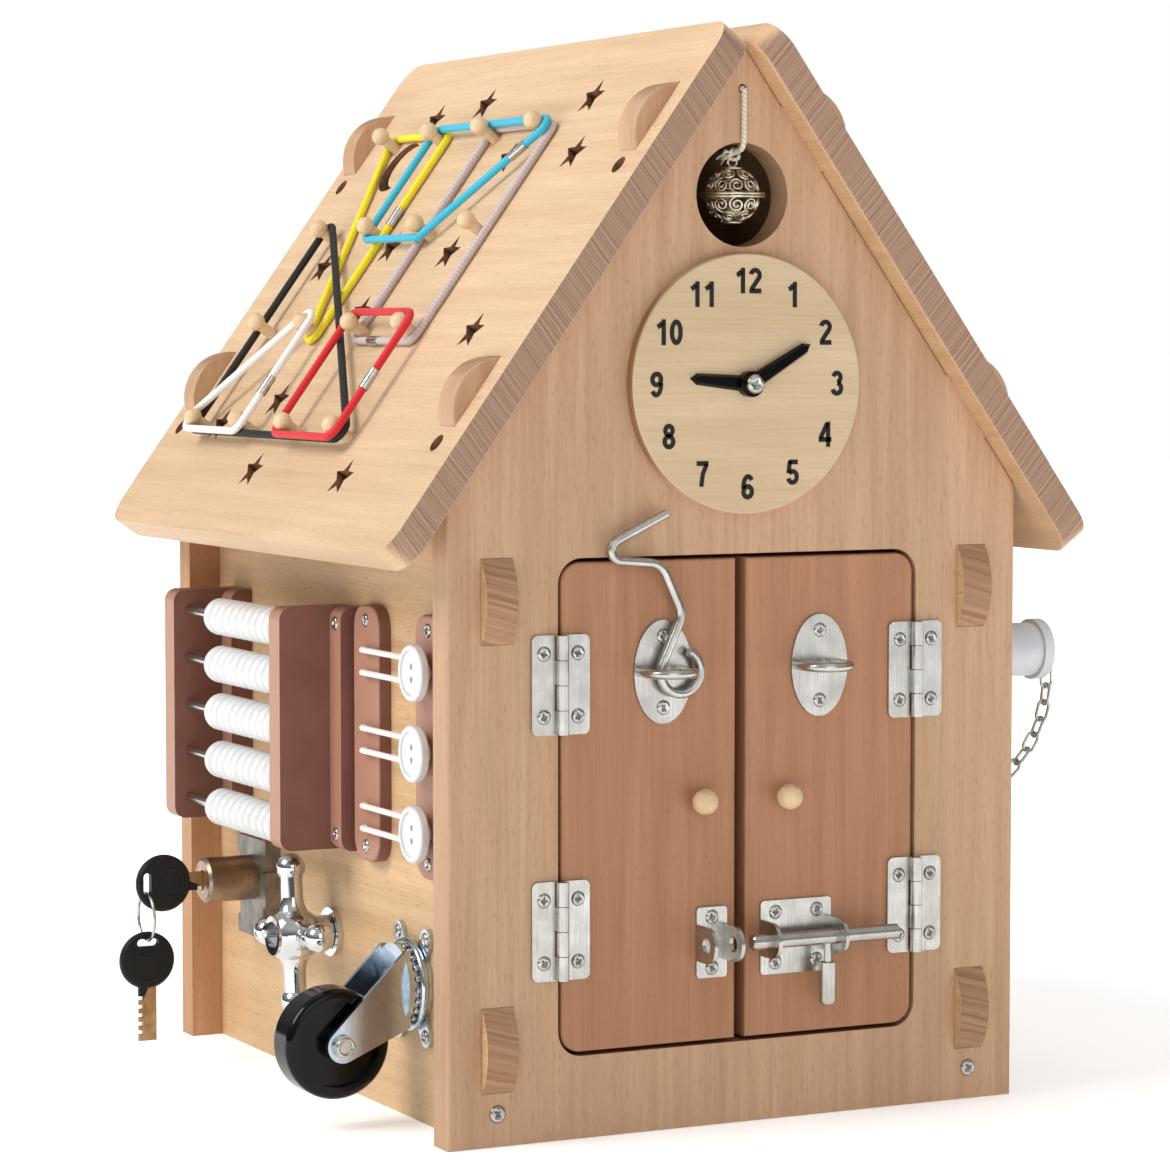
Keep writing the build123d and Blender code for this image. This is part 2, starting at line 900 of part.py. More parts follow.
with BuildPart() as door_hook:
    with BuildLine(hook_plane) as hook_route:
        CenterArc((0, 0), hook_curl_radius, hook_curl_start, -hook_curl_sweep)
        FilletPolyline(arm_start, arm_low, arm_rise, bend_start, radius=hook_curl_radius)
        CenterArc((hook_catch_x, hook_catch_z), hook_bend_radius, 90 + hook_rise, -(90 + hook_rise))
        Line(
            (hook_catch_x + hook_bend_radius, hook_catch_z),
            (hook_catch_x + hook_bend_radius, -hook_tip_drop),
        )
    with BuildSketch(Plane(origin=hook_route.line @ 0, z_dir=hook_route.line % 0)):
        Circle(hook_wire / 2)
    sweep(path=hook_route.line)
door_hook.part.label = "door_hook"
export_step(door_hook.part, "parts/door_hook.step")


# Flat plate of the bolt on a door, with two round ears that the rod runs through.
def bolt_bracket(center, width, height, screw_spots):
    with BuildPart() as bracket:
        with BuildSketch(Plane.XZ.offset(-front_y)):
            with Locations((center, bolt_height)):
                RectangleRounded(width, height, bolt_ear)
        extrude(amount=bolt_plate)
        for side in (-1, 1):
            ear_x = center + side * (width - bolt_ear) / 2 - bolt_ear / 2
            with BuildSketch(Plane.YZ.offset(ear_x)):
                with Locations((bolt_y, bolt_height)):
                    Circle(bolt_ear_radius)
                with Locations(((bolt_y + front_y - bolt_plate / 2) / 2, bolt_height)):
                    Rectangle(front_y - bolt_plate / 2 - bolt_y, 2 * bolt_ear_radius)
                with Locations((bolt_y, bolt_height)):
                    Circle(bolt_rod / 2 + bolt_clearance, mode=Mode.SUBTRACT)
            extrude(amount=bolt_ear)
        with Locations(*[front_seat(x, front_y - bolt_plate, z) for x, z in screw_spots]):
            sink_hole(bolt_plate)
    return bracket.part


keeper_screw_spots = [(keeper_x, bolt_height + rise * (bolt_screw_rise + bolt_ear)) for rise in (-1, 1)]
bolt_screw_side = bolt_plate_width / 2 - bolt_screw_inset
bolt_screw_spots = [
    (bolt_plate_x + side * bolt_screw_side, bolt_height + rise * (bolt_screw_rise + bolt_ear))
    for side in (-1, 1)
    for rise in (-1, 1)
]

# Keeper of the barrel bolt on the left door
with BuildPart() as bolt_keeper:
    add(bolt_bracket(keeper_x, keeper_width, keeper_height, keeper_screw_spots))
bolt_keeper.part.label = "bolt_keeper"
export_step(bolt_keeper.part, "parts/bolt_keeper.step")

# Guide of the barrel bolt on the right door
with BuildPart() as bolt_guide:
    add(bolt_bracket(bolt_plate_x, bolt_plate_width, bolt_plate_height, bolt_screw_spots))
bolt_guide.part.label = "bolt_guide"
export_step(bolt_guide.part, "parts/bolt_guide.step")

# Bolt rod with its hanging grip, stored drawn back
bolt_tip_x = keeper_x - keeper_width / 2 - bolt_tip_set + bolt_travel
grip_x = bolt_plate_x - bolt_plate_width / 2 + bolt_ear + grip_neck + bolt_travel
with BuildPart() as bolt_rod_body:
    with BuildSketch(Plane.YZ.offset(bolt_tip_x)):
        with Locations((bolt_y, bolt_height)):
            Circle(bolt_rod / 2)
    extrude(amount=bolt_rod_length)
    chamfer(bolt_rod_body.edges().filter_by(GeomType.CIRCLE), bolt_rod / 8)
    with BuildSketch(Plane.XY.offset(bolt_height)):
        with Locations((grip_x, bolt_y)):
            Circle(grip_neck / 2)
    extrude(amount=-(bolt_rod / 2 + grip_neck_length))
    with BuildSketch(Plane.XY.offset(bolt_height - bolt_rod / 2 - grip_neck_length)):
        with Locations((grip_x, bolt_y)):
            Circle(grip_diameter / 2)
    extrude(amount=-grip_length)
    fillet(bolt_rod_body.edges().sort_by(Axis.Z)[0], grip_diameter / 3)
bolt_rod_body.part.label = "bolt_rod"
export_step(bolt_rod_body.part, "parts/bolt_rod.step")

# Clock disc
with BuildPart() as clock_face:
    with BuildSketch(Plane.XZ.offset(-front_y)):
        with Locations((0, clock_height)):
            Circle(clock_diameter / 2)
            Circle(clock_pin / 2 + screw_slack, mode=Mode.SUBTRACT)
    extrude(amount=clock_board)
    dial = clock_face.faces().sort_by(Axis.Y)[0]
    fillet(dial.outer_wire().edges(), clock_edge)
clock_face.part.label = "clock_face"
export_step(clock_face.part, "parts/clock_face.step")


# A ridged hand about the clock's middle, turned clockwise from twelve, its back at the given depth.
def clock_hand(angle, length, back):
    turn = math.radians(angle)
    seat = Plane(
        origin=(0, back, clock_height),
        x_dir=(math.sin(turn), 0, math.cos(turn)),
        z_dir=(0, -1, 0),
    )
    with BuildPart() as hand:
        with BuildSketch(seat):
            Polygon(
                (0, -hand_root_width / 2), (length - hand_point, -hand_tip_width / 2), (length, 0),
                (length - hand_point, hand_tip_width / 2), (0, hand_root_width / 2), align=None,
            )
        extrude(amount=hand_thickness, taper=hand_taper)
        with BuildSketch(seat):
            Circle(hand_hub / 2)
        extrude(amount=hand_thickness)
        with BuildSketch(seat):
            Circle(clock_pin / 2 + clock_pin_clearance)
        extrude(amount=hand_thickness, mode=Mode.SUBTRACT)
    return hand.part


# Hour hand
with BuildPart() as hour_hand:
    add(clock_hand(hour_hand_angle, hour_hand_length, clock_front - hand_gap))
hour_hand.part.label = "hour_hand"
export_step(hour_hand.part, "parts/hour_hand.step")

# Minute hand in front of it
with BuildPart() as minute_hand:
    add(clock_hand(minute_hand_angle, minute_hand_length, clock_front - 2 * hand_gap - hand_thickness))
minute_hand.part.label = "minute_hand"
export_step(minute_hand.part, "parts/minute_hand.step")

# Pivot pin of the clock hands
pin_head_y = clock_front - 3 * hand_gap - 2 * hand_thickness
with BuildPart() as clock_pin_body:
    with BuildSketch(Plane.XZ.offset(-front_y)):
        with Locations((0, clock_height)):
            Circle(clock_pin / 2)
    extrude(amount=front_y - pin_head_y)
    with BuildSketch(Plane.XZ.offset(-pin_head_y)):
        with Locations((0, clock_height)):
            Circle(clock_pin_head / 2)
    extrude(amount=clock_pin_head_height)
    pin_front = clock_pin_body.faces().sort_by(Axis.Y)[0]
    fillet(pin_front.outer_wire().edges(), clock_pin_head_height / 2)
clock_pin_body.part.label = "clock_pin"
export_step(clock_pin_body.part, "parts/clock_pin.step")

# Pierced jingle bell with a rim round its middle and an eye on top
bell_middle = (0, bell_y, bell_height)
bell_eye_height = bell_height + bell_radius + bell_eye_radius
with BuildPart() as bell:
    with Locations(bell_middle):
        Sphere(bell_radius)
        Cylinder(bell_rim_radius, bell_rim)
        Sphere(bell_radius - bell_wall, mode=Mode.SUBTRACT)
    for half in (-1, 1):
        for number in range(bell_piercings):
            spin = 2 * math.pi * (number + 1 / 2) / bell_piercings
            lift = half * math.radians(bell_piercing_tilt)
            way = (math.cos(lift) * math.cos(spin), math.cos(lift) * math.sin(spin), math.sin(lift))
            with BuildSketch(Plane(origin=bell_middle, z_dir=way)):
                Circle(bell_piercing / 2)
            extrude(amount=bell_rim_radius, mode=Mode.SUBTRACT)
    with Locations(Location((0, bell_y, bell_eye_height), (90, 0, 0))):
        Torus(bell_eye_radius, bell_eye_wire / 2)
bell.part.label = "bell"
export_step(bell.part, "parts/bell.step")

# String that the bell hangs on, from the hole in the gable down its face to the bell's eye
string_y = front_y - string_face_gap - string_wire / 2
string_low = bell_height + bell_hole / 2 - string_dip
string_end = bell_eye_height + bell_eye_radius + bell_eye_wire / 2 + string_wire / 2 + fit
with BuildPart() as bell_string:
    with BuildLine(Plane.YZ) as string_route:
        FilletPolyline(
            (string_y, string_height), (string_y, string_low), (bell_y, string_end), radius=string_bend,
        )
    add(tube(string_route.line, string_wire))
    with Locations((0, string_y, string_height)):
        Sphere(string_wire / 2)
bell_string.part.label = "bell_string"
export_step(bell_string.part, "parts/bell_string.step")

abacus_rod_x = -side_x - abacus_rod_reach
batten_face_x = -side_x - batten_reach
abacus_heights = [
    abacus_height + (row - (abacus_rows - 1) / 2) * abacus_row_pitch for row in range(abacus_rows)
]

# End boards of the abacus with the battens that hold them to the wall
with BuildPart() as abacus_ends:
    for board_front in (abacus_front, abacus_back_face):
        with BuildSketch(Plane.XZ.offset(-board_front)) as board_face:
            with Locations((-side_x - abacus_reach / 2, abacus_height)):
                Rectangle(abacus_reach, abacus_tall)
            fillet(board_face.vertices().sort_by(Axis.X)[:2], abacus_corner)
        extrude(amount=-abacus_board)
        with BuildSketch(Plane.XZ.offset(-board_front)) as batten_face:
            with Locations((-side_x - batten_reach / 2, abacus_height)):
                Rectangle(batten_reach, abacus_tall)
            fillet(batten_face.vertices().sort_by(Axis.X)[:2], abacus_corner)
        extrude(amount=batten_width)
        batten_middle = board_front - batten_width / 2
        with Locations(*[
            left_seat(batten_face_x, batten_middle, abacus_height + rise * batten_screw_rise)
            for rise in (-1, 1)
        ]):
            sink_hole(batten_reach - overrun)
    with BuildSketch(Plane.XZ.offset(-abacus_front_face)):
        with Locations(*[(abacus_rod_x, height) for height in abacus_heights]):
            Circle(abacus_rod / 2 + abacus_rod_fit)
    extrude(amount=abacus_rod_seat, mode=Mode.SUBTRACT)
    with BuildSketch(Plane.XZ.offset(-abacus_back_face)):
        with Locations(*[(abacus_rod_x, height) for height in abacus_heights]):
            Circle(abacus_rod / 2 + abacus_rod_fit)
    extrude(amount=-abacus_rod_seat, mode=Mode.SUBTRACT)
abacus_ends.part.label = "abacus_ends"
export_step(abacus_ends.part, "parts/abacus_ends.step")

# Rods of the abacus
with BuildPart() as abacus_rods:
    with BuildSketch(Plane.XZ.offset(-(abacus_front_face - abacus_rod_seat))):
        with Locations(*[(abacus_rod_x, height) for height in abacus_heights]):
            Circle(abacus_rod / 2)
    extrude(amount=-(abacus_clear + 2 * abacus_rod_seat))
abacus_rods.part.label = "abacus_rods"
export_step(abacus_rods.part, "parts/abacus_rods.step")

bead_pitch = bead_thickness + bead_gap


# A row of beads pushed up to the front board of the abacus.
def bead_row(height):
    with BuildPart() as row:
        for number in range(beads_per_row):
            bead_back = abacus_front_face + bead_gap + number * bead_pitch
            with BuildSketch(Plane.XZ.offset(-bead_back)):
                with Locations((abacus_rod_x, height)):
                    Circle(bead_diameter / 2)
            extrude(amount=-bead_thickness)
        chamfer(row.edges().filter_by(GeomType.CIRCLE), bead_round)
        with BuildSketch(Plane.XZ.offset(-abacus_front_face)):
            with Locations((abacus_rod_x, height)):
                Circle(bead_bore / 2)
        extrude(amount=-abacus_clear, mode=Mode.SUBTRACT)
    return row.part


# Rows of beads, counted from the lowest
for number, height in enumerate(abacus_heights, start=1):
    with BuildPart() as beads:
        add(bead_row(height))
    beads.part.label = f"bead_row_{number}"
    export_step(beads.part, f"parts/bead_row_{number}.step")

rail_face_x = -side_x - rail_board
button_heights = [
    button_height + (number - (button_count - 1) / 2) * button_pitch for number in range(button_count)
]
loop_hole_spots = [
    (loop_rail_place, height + rise * loop_spread / 2) for height in button_heights for rise in (-1, 1)
]

# Rails of the loops and of the buttons
with BuildPart() as button_rails:
    with BuildSketch(Plane.YZ.offset(-side_x)):
        with Locations((loop_rail_place, rail_height), (button_rail_place, rail_height)):
            RectangleRounded(rail_width, rail_tall, rail_corner)
    extrude(amount=-rail_board)
    for outer_face in button_rails.faces().sort_by(Axis.X)[:2]:
        fillet(outer_face.outer_wire().edges(), edge_round)
    with BuildSketch(Plane.YZ.offset(-side_x)):
        with Locations(*loop_hole_spots):
            Circle(loop_wire / 2 + loop_slack)
    extrude(amount=-rail_board, mode=Mode.SUBTRACT)
    with Locations(*[
        left_seat(rail_face_x, place, rail_height + rise * rail_screw_rise)
        for place in (loop_rail_place, button_rail_place)
        for rise in (-1, 1)
    ]):
        sink_hole(rail_board - overrun)
button_rails.part.label = "button_rails"
export_step(button_rails.part, "parts/button_rails.step")

# Buttons standing off their rail on short stems
button_spots = [(button_rail_place, height) for height in button_heights]
button_back_x = rail_face_x - button_standoff
button_front_x = button_back_x - button_thickness
with BuildPart() as buttons:
    with BuildSketch(Plane.YZ.offset(button_back_x)):
        with Locations(*button_spots):
            Circle(button_diameter / 2)
    extrude(amount=-button_thickness)
    fillet(buttons.edges().filter_by(GeomType.CIRCLE), button_rim / 2)
    with BuildSketch(Plane.YZ.offset(button_front_x)):
        with Locations(*button_spots):
            Circle(button_diameter / 2 - button_rim)
    extrude(amount=button_dish, mode=Mode.SUBTRACT)
    with BuildSketch(Plane.YZ.offset(button_front_x)):
        with Locations(*button_spots):
            with Locations((0, button_eye_spacing / 2), (0, -button_eye_spacing / 2)):
                Circle(button_eye / 2)
    extrude(amount=button_thickness, mode=Mode.SUBTRACT)
    with BuildSketch(Plane.YZ.offset(button_back_x)):
        with Locations(*button_spots):
            Circle(button_stem / 2)
    extrude(amount=button_standoff)
buttons.part.label = "buttons"
export_step(buttons.part, "parts/buttons.step")

loop_x = rail_face_x - loop_bend


# A loop of elastic from two holes in its rail, round the stem of a button and back.
def elastic_loop(height):
    legs = []
    for rise in (-1, 1):
        with BuildLine(Plane.XY.offset(height + rise * loop_spread / 2)) as leg:
            FilletPolyline(
                (-side_x - fit, loop_rail_place), (loop_x, loop_rail_place),
                (loop_x, button_rail_place), radius=loop_bend,
            )
        legs.append(leg.line)
    with BuildLine(Plane.YZ.offset(loop_x)) as bend:
        ThreePointArc(
            (button_rail_place, height - loop_spread / 2),
            (button_rail_place - loop_spread / 2, height),
            (button_rail_place, height + loop_spread / 2),
        )
    with BuildPart() as loop:
        for route in (legs[0], bend.line, legs[1]):
            add(tube(route, loop_wire))
    return loop.part


# Elastic loops over the buttons
with BuildPart() as elastic_loops:
    for height in button_heights:
        add(elastic_loop(height))
elastic_loops.part.label = "elastic_loops"
export_step(elastic_loops.part, "parts/elastic_loops.step")

# Plane on the left wall: local X runs to the front, local Y up and local Z out of the wall.
def left_plane(place, height):
    return Plane(origin=(-side_x, place, height), x_dir=(0, -1, 0), z_dir=(-1, 0, 0))


lock_plane = left_plane(lock_place, lock_height)
lock_mouth = lock_case_reach + lock_barrel_length
lock_case_top = lock_case_tall / 2 - lock_case_drop
lock_bolt_room = lock_bolt_length - lock_bolt_show + lock_bolt_clearance

# Lock case with its notches, its barrel and the channel of its bolt
with BuildPart() as lock_case:
    with BuildSketch(lock_plane):
        with Locations((0, -lock_case_drop)):
            Rectangle(lock_case_width, lock_case_tall)
            with GridLocations(lock_case_width, lock_case_tall / 2, 2, 2):
                Rectangle(2 * lock_notch_depth, lock_notch, mode=Mode.SUBTRACT)
    extrude(amount=lock_case_reach)
    with BuildSketch(lock_plane.offset(lock_case_reach)):
        Circle(lock_barrel / 2)
    extrude(amount=lock_barrel_length)
    barrel_face = lock_case.faces().sort_by(Axis.X)[0]
    chamfer(barrel_face.outer_wire().edges(), lock_barrel_lip)
    with BuildSketch(lock_plane.offset(lock_mouth)):
        Circle(lock_plug / 2 + lock_plug_clearance)
    extrude(amount=-lock_plug_length - lock_plug_clearance, mode=Mode.SUBTRACT)
    channel_spot = Location((0, lock_case_top - lock_bolt_room / 2, lock_case_reach / 2))
    with Locations(lock_plane.location * channel_spot):
        Box(
            lock_bolt_width + 2 * lock_bolt_clearance, lock_bolt_room,
            lock_bolt_thickness + 2 * lock_bolt_clearance, mode=Mode.SUBTRACT,
        )
lock_case.part.label = "lock_case"
export_step(lock_case.part, "parts/lock_case.step")

# Bolt of the lock, stored drawn in
with BuildPart() as lock_bolt:
    bolt_middle = lock_case_top + lock_bolt_show - lock_bolt_length / 2
    with Locations(lock_plane.location * Location((0, bolt_middle, lock_case_reach / 2))):
        Box(lock_bolt_width, lock_bolt_length, lock_bolt_thickness)
lock_bolt.part.label = "lock_bolt"
export_step(lock_bolt.part, "parts/lock_bolt.step")

# Plug that turns in the barrel, with its keyway
with BuildPart() as lock_plug_body:
    with BuildSketch(lock_plane.offset(lock_mouth)):
        Circle(lock_plug / 2)
    extrude(amount=-lock_plug_length)
    with BuildSketch(lock_plane.offset(lock_mouth)):
        Rectangle(lock_keyway_width, lock_keyway_tall)
    extrude(amount=-lock_keyway_depth, mode=Mode.SUBTRACT)
lock_plug_body.part.label = "lock_plug"
export_step(lock_plug_body.part, "parts/lock_plug.step")

blade_start = key_bow / 2 - key_blade_socket


# A key about the middle of its bow: the blade points along +X, the bow's slot lies towards -X.
def key():
    with BuildPart() as bow:
        with BuildSketch(Plane.XZ.offset(-key_bow_thickness / 2)):
            Circle(key_bow / 2)
            with Locations((-key_slot_set, 0)):
                SlotOverall(key_slot_long, key_slot_wide, rotation=90, mode=Mode.SUBTRACT)
        extrude(amount=key_bow_thickness)
        chamfer(bow.edges().filter_by(GeomType.CIRCLE).sort_by(Edge.length)[-2:], key_bow_round)
        with Locations((blade_start + key_blade_socket / 2, 0, 0)):
            Box(
                key_blade_socket, key_blade + 2 * screw_slack, key_blade_tall + 2 * screw_slack,
                mode=Mode.SUBTRACT,
            )
    with BuildPart() as blade:
        with Locations((blade_start + key_blade_length / 2, 0, 0)):
            Box(key_blade_length, key_blade, key_blade_tall)
        tip_x = blade_start + key_blade_length
        with Locations(*[
            (tip_x - (number + 1) * key_notch_pitch, 0, -key_blade_tall / 2)
            for number in range(key_notches)
        ]):
            Box(key_notch_pitch / 2, key_bow_thickness, 2 * key_notch, mode=Mode.SUBTRACT)
    return [bow.part, blade.part]


key_bow_x = -side_x - lock_mouth - key_bow_gap
ring_x = key_bow_x - key_slot_set
ring_top = lock_height - key_slot_long / 2 + key_ring_wire / 2 + key_ring_play
ring_middle = ring_top - key_ring_radius
spare_slot_top = ring_middle - key_ring_radius + key_ring_wire / 2 + key_ring_play
spare_bow_z = spare_slot_top - key_slot_wide / 2 - key_slot_set
key_pieces = key()

# Key in the lock
with BuildPart() as lock_key:
    with Locations((key_bow_x, lock_place, lock_height)):
        add(key_pieces)
lock_key.part.label = "lock_key"
export_step(lock_key.part, "parts/lock_key.step")

# Spare key hanging on the ring
with BuildPart() as spare_key:
    with Locations(Location((ring_x, lock_place, spare_bow_z), (0, 90, 0))):
        add(key_pieces)
spare_key.part.label = "spare_key"
export_step(spare_key.part, "parts/spare_key.step")

# Key ring
with BuildPart() as key_ring:
    with Locations(Location((ring_x, lock_place, ring_middle), (0, 90, 0))):
        Torus(key_ring_radius, key_ring_wire / 2)
key_ring.part.label = "key_ring"
export_step(key_ring.part, "parts/key_ring.step")

# Stem of the cross handle with its flange on the wall
handle_plane = left_plane(handle_place, handle_height)
with BuildPart() as handle_stem_body:
    with BuildSketch(handle_plane):
        Circle(handle_flange / 2)
    extrude(amount=handle_flange_thickness)
    with BuildSketch(handle_plane.offset(handle_flange_thickness)):
        Circle(handle_stem / 2)
    extrude(amount=handle_stem_length)
handle_stem_body.part.label = "handle_stem"
export_step(handle_stem_body.part, "parts/handle_stem.step")

collar_base = handle_flange_thickness + handle_gap
collar_top = handle_arm_plane - math.sqrt(handle_hub ** 2 - handle_collar ** 2) / 2
rim_base = handle_arm_plane + math.sqrt(handle_hub ** 2 - handle_rim ** 2) / 2
stem_bore = handle_stem / 2 + handle_stem_clearance
stem_bore_top = handle_flange_thickness + handle_stem_length + handle_gap
recess_floor = handle_face - handle_recess_depth


# Hub of the cross handle about Z, bored for the stem and recessed in its face.
def handle_hub_body():
    with BuildPart() as hub:
        with BuildSketch(Plane.XZ):
            with BuildLine():
                Polyline(
                    (stem_bore, collar_base),
                    (handle_collar / 2, collar_base),
                    (handle_collar / 2, collar_top),
                )
                ThreePointArc(
                    (handle_collar / 2, collar_top),
                    (handle_hub / 2, handle_arm_plane),
                    (handle_rim / 2, rim_base),
                )
                Polyline(
                    (handle_rim / 2, rim_base),
                    (handle_rim / 2, handle_face),
                    (handle_recess / 2, handle_face),
                    (handle_recess / 2, recess_floor),
                    (0, recess_floor),
                    (0, stem_bore_top),
                    (stem_bore, stem_bore_top),
                    (stem_bore, collar_base),
                )
            make_face()
        revolve(axis=Axis.Z)
    return hub.part


# Arm of the cross handle along Z, flared at the hub and round at its end.
def handle_arm():
    root = (stem_bore + handle_hub / 2) / 2
    neck_end = handle_reach - math.sqrt(handle_ball ** 2 - handle_neck ** 2) / 2
    flare_middle = handle_neck / 2 + handle_flare_share * (handle_root - handle_neck) / 2
    arm_end = handle_reach + handle_ball / 2
    with BuildPart() as arm:
        with BuildSketch(Plane.XZ):
            with BuildLine():
                Line((0, root), (handle_root / 2, root))
                ThreePointArc(
                    (handle_root / 2, root),
                    (flare_middle, root + handle_flare / 2),
                    (handle_neck / 2, root + handle_flare),
                )
                Line((handle_neck / 2, root + handle_flare), (handle_neck / 2, neck_end))
                ThreePointArc((handle_neck / 2, neck_end), (handle_ball / 2, handle_reach), (0, arm_end))
                Line((0, arm_end), (0, root))
            make_face()
        revolve(axis=Axis.Z)
    return arm.part


# Cross handle that turns on the stem
hub_body = handle_hub_body()
arm_body = handle_arm()
with BuildPart() as cross_handle:
    with Locations(handle_plane.location):
        add(hub_body)
    for arm in range(4):
        turn = math.radians(handle_tilt + 90 * arm)
        way = (0, math.cos(turn), math.sin(turn))
        with Locations(Plane(origin=handle_plane.offset(handle_arm_plane).origin, z_dir=way).location):
            add(arm_body)
cross_handle.part.label = "cross_handle"
export_step(cross_handle.part, "parts/cross_handle.step")

caster_wall = left_plane(caster_place, caster_height)
ear_x = caster_plate_width / 2 - caster_ear
ear_y = caster_plate_tall / 2 - caster_ear
ear_turn = math.degrees(math.atan2(ear_y, ear_x))
race_top = caster_plate + caster_race_reach
fork_base = race_top + caster_fork_gap
fork_top = fork_base + caster_fork
king_top = fork_top + caster_fork_gap

# Caster plate with its ball race and kingpin
with BuildPart() as caster_plate_body:
    with BuildSketch(caster_wall):
        Circle(caster_race)
        for turn in (-ear_turn, ear_turn):
            SlotCenterToCenter(2 * math.hypot(ear_x, ear_y), 2 * caster_ear, rotation=turn)
    extrude(amount=caster_plate)
    with BuildSketch(caster_wall.offset(caster_plate)):
        Circle(caster_race - caster_plate)
    extrude(amount=caster_race_reach)
    with BuildSketch(caster_wall):
        Circle(caster_king_pin / 2)
    extrude(amount=king_top)
    with BuildSketch(caster_wall.offset(king_top)):
        Circle(caster_king_head / 2)
    extrude(amount=caster_king_head_height)
    with Locations(*[
        caster_wall.location * Location((across * ear_x, up * ear_y, caster_plate))
        for across in (-1, 1)
        for up in (-1, 1)
    ]):
        sink_hole(caster_plate)
caster_plate_body.part.label = "caster_plate"
export_step(caster_plate_body.part, "parts/caster_plate.step")


# A plane across the caster's axle, at a distance to the front of the fork's middle.
def fork_plane(across):
    return Plane(
        origin=(-side_x, caster_place - across, caster_height), x_dir=(0, 0, 1), z_dir=(0, -1, 0)
    )


axle_spot = (-caster_trail, caster_axle_reach)
axle_half = caster_fork_span / 2 + caster_fork + caster_axle_head_height

# Swivelling fork of the caster
with BuildPart() as caster_fork_body:
    with BuildSketch(caster_wall.offset(fork_base)):
        Circle(caster_fork_cap)
    extrude(amount=caster_fork)
    for across in (-caster_fork_span / 2 - caster_fork, caster_fork_span / 2):
        with BuildSketch(fork_plane(across)):
            with Locations((0, fork_base + caster_fork / 2)):
                Rectangle(caster_fork_root, caster_fork)
            with Locations(axle_spot):
                Circle(caster_fork_end)
            make_hull()
            with Locations(axle_spot):
                Circle(caster_axle / 2 + screw_slack, mode=Mode.SUBTRACT)
        extrude(amount=caster_fork)
    with BuildSketch(caster_wall.offset(fork_base)):
        Circle(caster_king_pin / 2 + caster_clearance)
    extrude(amount=caster_fork, mode=Mode.SUBTRACT)
caster_fork_body.part.label = "caster_fork"
export_step(caster_fork_body.part, "parts/caster_fork.step")

# Axle of the caster wheel with its two heads
with BuildPart() as caster_axle_body:
    with BuildSketch(fork_plane(-axle_half)):
        with Locations(axle_spot):
            Circle(caster_axle / 2)
    extrude(amount=2 * axle_half)
    for across in (-axle_half, axle_half - caster_axle_head_height):
        with BuildSketch(fork_plane(across)):
            with Locations(axle_spot):
                Circle(caster_axle_head / 2)
        extrude(amount=caster_axle_head_height)
caster_axle_body.part.label = "caster_axle"
export_step(caster_axle_body.part, "parts/caster_axle.step")

# Caster wheel, dished on both sides round its hub
hub_half = caster_fork_span / 2 - wheel_side_gap
with BuildPart() as caster_wheel:
    with BuildSketch(fork_plane(-wheel_width / 2)):
        with Locations(axle_spot):
            Circle(wheel_diameter / 2)
    extrude(amount=wheel_width)
    fillet(caster_wheel.edges().filter_by(GeomType.CIRCLE), wheel_round)
    for across in (-wheel_width / 2, wheel_width / 2 - wheel_dish):
        with BuildSketch(fork_plane(across)):
            with Locations(axle_spot):
                Circle(wheel_dish_diameter / 2)
        extrude(amount=wheel_dish, mode=Mode.SUBTRACT)
    with BuildSketch(fork_plane(-hub_half)):
        with Locations(axle_spot):
            Circle(wheel_hub / 2)
    extrude(amount=2 * hub_half)
    with BuildSketch(fork_plane(-hub_half)):
        with Locations(axle_spot):
            Circle(caster_axle / 2 + caster_clearance)
    extrude(amount=2 * hub_half, mode=Mode.SUBTRACT)
caster_wheel.part.label = "caster_wheel"
export_step(caster_wheel.part, "parts/caster_wheel.step")

plug_plane = Plane(origin=(side_x, plug_place, plug_height), x_dir=(0, 1, 0), z_dir=(1, 0, 0))
plug_seat = plug_tube_reach + plug_clearance
plug_face = plug_seat + plug_flange_thickness
plug_bore = plug_tube / 2 - plug_tube_wall

# Tube on the right wall that the basin plug fits
with BuildPart() as plug_tube_body:
    with BuildSketch(plug_plane):
        Circle(plug_tube_flange / 2)
    extrude(amount=plug_tube_flange_thickness)
    with BuildSketch(plug_plane):
        Circle(plug_tube / 2)
    extrude(amount=plug_tube_reach)
    with BuildSketch(plug_plane.offset(plug_tube_reach)):
        Circle(plug_bore)
    extrude(amount=plug_tube_flange_thickness - plug_tube_reach, mode=Mode.SUBTRACT)
plug_tube_body.part.label = "plug_tube"
export_step(plug_tube_body.part, "parts/plug_tube.step")

# Basin plug with the ring that holds its chain
lug_x = side_x + plug_face + lug_radius
with BuildPart() as basin_plug:
    with BuildSketch(plug_plane.offset(plug_seat)):
        Circle(plug_flange / 2)
    extrude(amount=plug_flange_thickness)
    with BuildSketch(plug_plane.offset(plug_seat)):
        Circle(plug_bore - plug_clearance)
    extrude(amount=-plug_stem_length)
    with Locations(Location((lug_x, plug_place, plug_height), (90, 0, 0))):
        Torus(lug_radius, lug_wire / 2)
basin_plug.part.label = "basin_plug"
export_step(basin_plug.part, "parts/basin_plug.step")


# A chain link along X in the XY plane.
def chain_link():
    straight = (chain_link_long - chain_link_wide) / 2
    radius = (chain_link_wide - chain_wire) / 2
    with BuildLine() as route:
        Line((-straight, -radius), (straight, -radius))
        ThreePointArc((straight, -radius), (straight + radius, 0), (straight, radius))
        Line((straight, radius), (-straight, radius))
        ThreePointArc((-straight, radius), (-straight - radius, 0), (-straight, -radius))
    return ring_tube(route.wire(), chain_wire, (0, 0, 1), 2)


